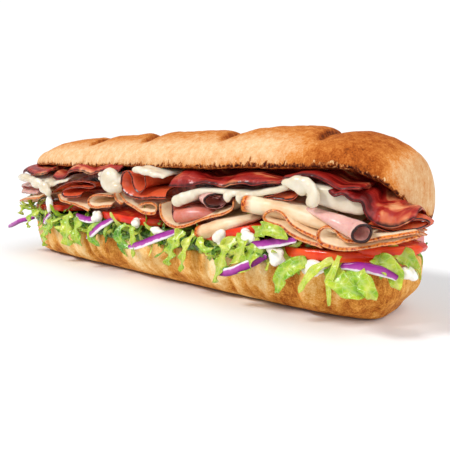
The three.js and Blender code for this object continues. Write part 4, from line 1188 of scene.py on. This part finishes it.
lighter = add(tree, "ShaderNodeMath", {0: veined, 1: pale}, operation="MAXIMUM")
coloured = add(tree, "ShaderNodeMix", {0: lighter, 6: greens, 7: linear("#e6edb4")}, data_type="RGBA")
bump = add(tree, "ShaderNodeBump",
           {"Height": veins.outputs["Distance"], "Strength": 0.8, "Distance": 0.0006})
lay_on(tree, {
    "Base Color": coloured.outputs[2], "Normal": bump, "Roughness": 0.3, "IOR": 1.4,
    "Coat Weight": 0.25, "Coat Roughness": 0.15,
    "Subsurface Weight": 0.25, "Subsurface Radius": (0.5, 0.8, 0.15), "Subsurface Scale": 0.003})


def heap_ring(inset, height):
    """A ring round the heap, which reaches further at the far end than at the near end."""
    ring = plan_ring(HEAP_HALF_LENGTH - inset, HEAP_HALF_WIDTH - inset, height)
    ring[:, 1] *= np.where(ring[:, 1] > 0, HEAP_BACK_SHARE, HEAP_FRONT_SHARE)
    ring[:, 2] += HEAP_FAR_RISE * smooth_step(-ring[:, 0], 100, 145)
    ring[:, 0] += HEAP_SHIFT
    return ring


# The core, a little smaller than the heap, only glimpsed between the ribbons. Each of its
# lines gives the inset and the height.
CORE_SHADE = -0.5
CORE_LINES = ((16, 23.0), (9, 23.5), (6.5, 26.0), (5.5, 30.0), (6.5, 33.5), (12, 35.0))
core = np.array([heap_ring(inset, height) for inset, height in CORE_LINES])
core = core + 1.6 * np.stack([unevenness(core, 6, seed) for seed in (31, 32, 33)], -1)
core_piece = skin("lettuce_core", core, fresh_lettuce,
                  {"rib": np.zeros(core.shape[:2]), "shade": np.full(core.shape[:2], CORE_SHADE)})
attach(core_piece, "root")
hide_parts("lettuce_heap")

# Sixteen patterns of cut ribbon, each starting at the origin and curling away along X.
RIBBON_PATTERNS = 16
RIBBON_BENDS = 6
patterns = bpy.data.collections.new("ribbon_patterns")
draw = random.Random(11)
for index in range(RIBBON_PATTERNS):
    length = draw.uniform(9, 22)
    curl = draw.uniform(-0.12, 0.26)
    swing = draw.uniform(-0.12, 0.12)
    pitch = draw.uniform(-0.5, 0.3)
    heading = 0.0
    path = [np.zeros(3)]
    for step in range(RIBBON_BENDS):
        pitch += curl * length / RIBBON_BENDS * draw.uniform(0.4, 1.6)
        heading += swing * length / RIBBON_BENDS * draw.uniform(0.4, 1.6)
        ahead = np.array([math.cos(pitch) * math.cos(heading), math.sin(heading), -math.sin(pitch)])
        path.append(path[-1] + length / RIBBON_BENDS * ahead)
    width = draw.uniform(1.6, 3.6)
    frill = draw.uniform(0.2, 0.6)
    loops, marks = ribbon(path, width, index + 1, frill=frill, cup=draw.uniform(-0.1, 0.5))
    pattern = skin(f"ribbon_pattern_{index + 1}", loops, fresh_lettuce, marks)
    scene.collection.objects.unlink(pattern)
    patterns.objects.link(pattern)

# The tree that scatters ribbons over a bed: each points down the bed, turned and scaled at random.
scatter = bpy.data.node_groups.new("scatter_ribbons", "GeometryNodeTree")
scatter.interface.new_socket("Bed", in_out="INPUT", socket_type="NodeSocketGeometry")
scatter_inputs = []
for socket_name, socket_kind in (("Ribbons per square metre", "NodeSocketFloat"), ("Seed", "NodeSocketInt"),
                                 ("Least turn", "NodeSocketVector"), ("Most turn", "NodeSocketVector"),
                                 ("Smallest", "NodeSocketFloat"), ("Largest", "NodeSocketFloat"),
                                 ("Darkest", "NodeSocketFloat"), ("Lightest", "NodeSocketFloat")):
    socket = scatter.interface.new_socket(socket_name, in_out="INPUT", socket_type=socket_kind)
    scatter_inputs.append(socket.identifier)
scatter.interface.new_socket("Ribbons", in_out="OUTPUT", socket_type="NodeSocketGeometry")
given = add(scatter, "NodeGroupInput").outputs
spread = add(scatter, "GeometryNodeDistributePointsOnFaces", {
    "Mesh": given["Bed"], "Density": given["Ribbons per square metre"], "Seed": given["Seed"]})
faced = add(scatter, "FunctionNodeAlignRotationToVector", {"Vector": spread.outputs["Normal"]}, axis="Z")
hung = add(scatter, "FunctionNodeAlignRotationToVector", {"Rotation": faced, "Vector": (0, 0, -1)},
           axis="X", pivot_axis="Z")
turn = add(scatter, "FunctionNodeRandomValue", {
    0: given["Least turn"], 1: given["Most turn"], "Seed": given["Seed"]}, data_type="FLOAT_VECTOR")
turn_by = add(scatter, "FunctionNodeEulerToRotation", {0: turn})
turned = add(scatter, "FunctionNodeRotateRotation", {
    "Rotation": hung, "Rotate By": turn_by}, rotation_space="LOCAL")
size = add(scatter, "FunctionNodeRandomValue", {
    2: given["Smallest"], 3: given["Largest"], "Seed": given["Seed"]}, data_type="FLOAT")
which = add(scatter, "FunctionNodeRandomValue", {4: 0, 5: RIBBON_PATTERNS - 1, "Seed": given["Seed"]},
            data_type="INT")
library = add(scatter, "GeometryNodeCollectionInfo", {
    "Collection": patterns, "Separate Children": True, "Reset Children": True})
placed = add(scatter, "GeometryNodeInstanceOnPoints", {
    "Points": spread.outputs["Points"], "Instance": library, "Pick Instance": True,
    "Instance Index": which.outputs[2], "Rotation": turned, "Scale": size.outputs[1]})
tint = add(scatter, "FunctionNodeRandomValue", {
    2: given["Darkest"], 3: given["Lightest"], "Seed": given["Seed"]}, data_type="FLOAT")
tinted = add(scatter, "GeometryNodeStoreNamedAttribute", {
    "Geometry": placed, "Name": "shade", "Value": tint.outputs[1]}, data_type="FLOAT", domain="INSTANCE")
real = add(scatter, "GeometryNodeRealizeInstances", {"Geometry": tinted})
painted = add(scatter, "GeometryNodeSetMaterial", {"Geometry": real, "Material": fresh_lettuce})
add(scatter, "NodeGroupOutput", {"Ribbons": painted})

# Each bed is a band round the heap, from its lower line to its upper line, followed by the values of
# the tree's inputs in their order. A line gives the inset and the height.
BED_STEP = 6
LETTUCE_BEDS = {
    "packed_ribbons": (((4.2, 28), (3.4, 36)), 64000.0, 3, (-0.7, -1.0, -2.2), (0.7, 0.5, 2.2),
                       0.55, 0.95, -0.62, 0.15),
    "hanging_ribbons": (((3.5, 28), (2.2, 35)), 19000.0, 5, (-0.6, -0.9, -1.3), (0.6, 0.05, 1.3),
                        0.55, 1.0, -0.45, 0.2),
    "top_ribbons": (((2.5, 32), (7, 39)), 10000.0, 9, (-0.6, -0.8, -2.6), (0.6, 0.3, 2.6),
                    0.55, 0.85, -0.55, 0.15),
}
for bed_name, (lines, *chosen) in LETTUCE_BEDS.items():
    rings = [heap_ring(inset, height)[::BED_STEP] for inset, height in lines]
    ring_size = len(rings[0])
    band = [(step, (step + 1) % ring_size, (step + 1) % ring_size + ring_size, step + ring_size)
            for step in range(ring_size)]
    bed = mesh_object(bed_name + "_bed", np.concatenate(rings), band, fresh_lettuce, {})
    modifier = bed.modifiers.new("scatter", "NODES")
    modifier.node_group = scatter
    for identifier, value in zip(scatter_inputs, chosen):
        modifier[identifier] = value
    ribbons = made_plain(bed, bed_name)
    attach(ribbons, "root")
    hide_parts("lettuce_heap")
for pattern in list(patterns.objects):
    bpy.data.objects.remove(pattern)
bpy.data.collections.remove(patterns)

# Larger leaves that hang over the rim: route, width, depth of frill, and how pale each one is. Where
# one would hang too far out, past this distance from the middle, it is pressed back against the roll.
LEAF_WIDTH_SHARE = 0.85
LEAF_FRILL_SHARE = 0.8
LEAF_LEAN = (0.15, -1.0, 0.5)
PRESSED_PAST = 49.6
PRESSED_TO = 0.25
LEAF_SHADE_SPAN = 0.85
LEAF_DARKEST = -0.48
HANGING_LEAVES = [
    ([(-90, -42, 33), (-95, -45, 27), (-101, -45.5, 19), (-103, -44, 12)], 9, 1.6, 0.45),
    ([(-76, -41, 37), (-71, -45, 31), (-70, -46, 24), (-70, -45, 16)], 11, 2.2, 0.6),
    ([(-55, -42, 36), (-60, -45, 30), (-59, -45.5, 24), (-54, -45, 18)], 8, 1.8, 0.4),
    ([(-37, -42, 36), (-42, -45.5, 30), (-41, -45.5, 25), (-35, -44.5, 20)], 7, 1.5, 0.35),
    ([(-10, -42, 36), (-14, -45.5, 31), (-10, -45.5, 25), (-3, -44.5, 22)], 6, 1.4, 0.25),
    ([(-3, -42, 38), (0, -45.5, 33), (1, -46, 26), (-1, -45, 17)], 4.4, 0.8, 0.5),
    ([(39, -42, 37), (36, -46, 31), (33, -46.4, 24), (30, -45.5, 17)], 8.5, 1.8, 0.5),
    ([(48, -42, 37), (45, -46, 31), (43, -46.6, 24), (40, -45.5, 15)], 5, 1.4, 0.65),
    ([(52, -42, 38), (55, -46, 33), (59, -46.4, 29.5), (64, -45.5, 31)], 4.4, 1.2, 0.55),
    ([(77, -42, 38), (72, -46, 32), (70, -46.6, 24), (64, -45.5, 13)], 7, 2.0, 0.6),
    ([(80, -42, 40), (83, -46, 35), (81, -46.4, 29), (75, -45.5, 25)], 7, 1.8, 0.7),
    ([(86, -42, 39), (90, -46, 34), (87, -46.8, 28), (80, -46, 21)], 9.5, 2.0, 0.5),
    ([(88, -43, 41), (95, -45.5, 43), (101, -45.5, 43), (107, -44, 40)], 8, 2.0, 0.55),
    ([(116, -42, 31), (111, -45.6, 28.4), (106, -46.6, 24), (103, -46, 15)], 9, 1.0, 0.4),
    ([(128, -41, 33), (123, -45, 29.5), (119, -46, 25), (114, -45.5, 17)], 4.6, 0.6, 0.75),
    ([(131, -41, 35), (131, -45, 31), (129, -46, 24), (129, -45, 14)], 3.6, 0.8, 0.7),
    ([(127, -41.5, 30), (132, -45, 26), (138, -45.5, 22.5), (144, -43.5, 20.5)], 10.5, 1.6, 0.5),
    ([(137, -40, 31), (141, -43, 27.5), (145, -43, 23.5), (147, -41, 19)], 9, 1.4, 0.5),
    ([(143, -34, 35), (148, -34, 33), (151, -32, 29), (152, -30, 22)], 9, 1.8, 0.6),
    ([(146, -29, 38), (151, -28, 37), (155, -26, 34), (156, -23, 30)], 8, 2.0, 0.55),
    ([(-112, -42, 37), (-118, -44.5, 34), (-124, -45, 29), (-128, -43, 23)], 6, 1.6, 0.5),
    ([(-150, -34, 37), (-154, -35, 35), (-159, -33, 32), (-162, -29, 30)], 5, 1.6, 0.6),
]
for index, (route, width, frill, pale) in enumerate(HANGING_LEAVES):
    loops, marks = ribbon(route, LEAF_WIDTH_SHARE * width, 30 + index, stations=40, cells=10,
                          frill=LEAF_FRILL_SHARE * frill, lean=LEAF_LEAN)
    pressed_back = PRESSED_TO * loops[..., 1] - (1 - PRESSED_TO) * PRESSED_PAST
    loops[..., 1] = np.maximum(loops[..., 1], pressed_back)
    marks["shade"] = np.full(marks["rib"].shape, LEAF_SHADE_SPAN * pale + LEAF_DARKEST)
    leaf = skin(f"hanging_leaf_{index + 1}", loops, fresh_lettuce, marks)
    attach(leaf, "root")
    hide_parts("lettuce_heap")
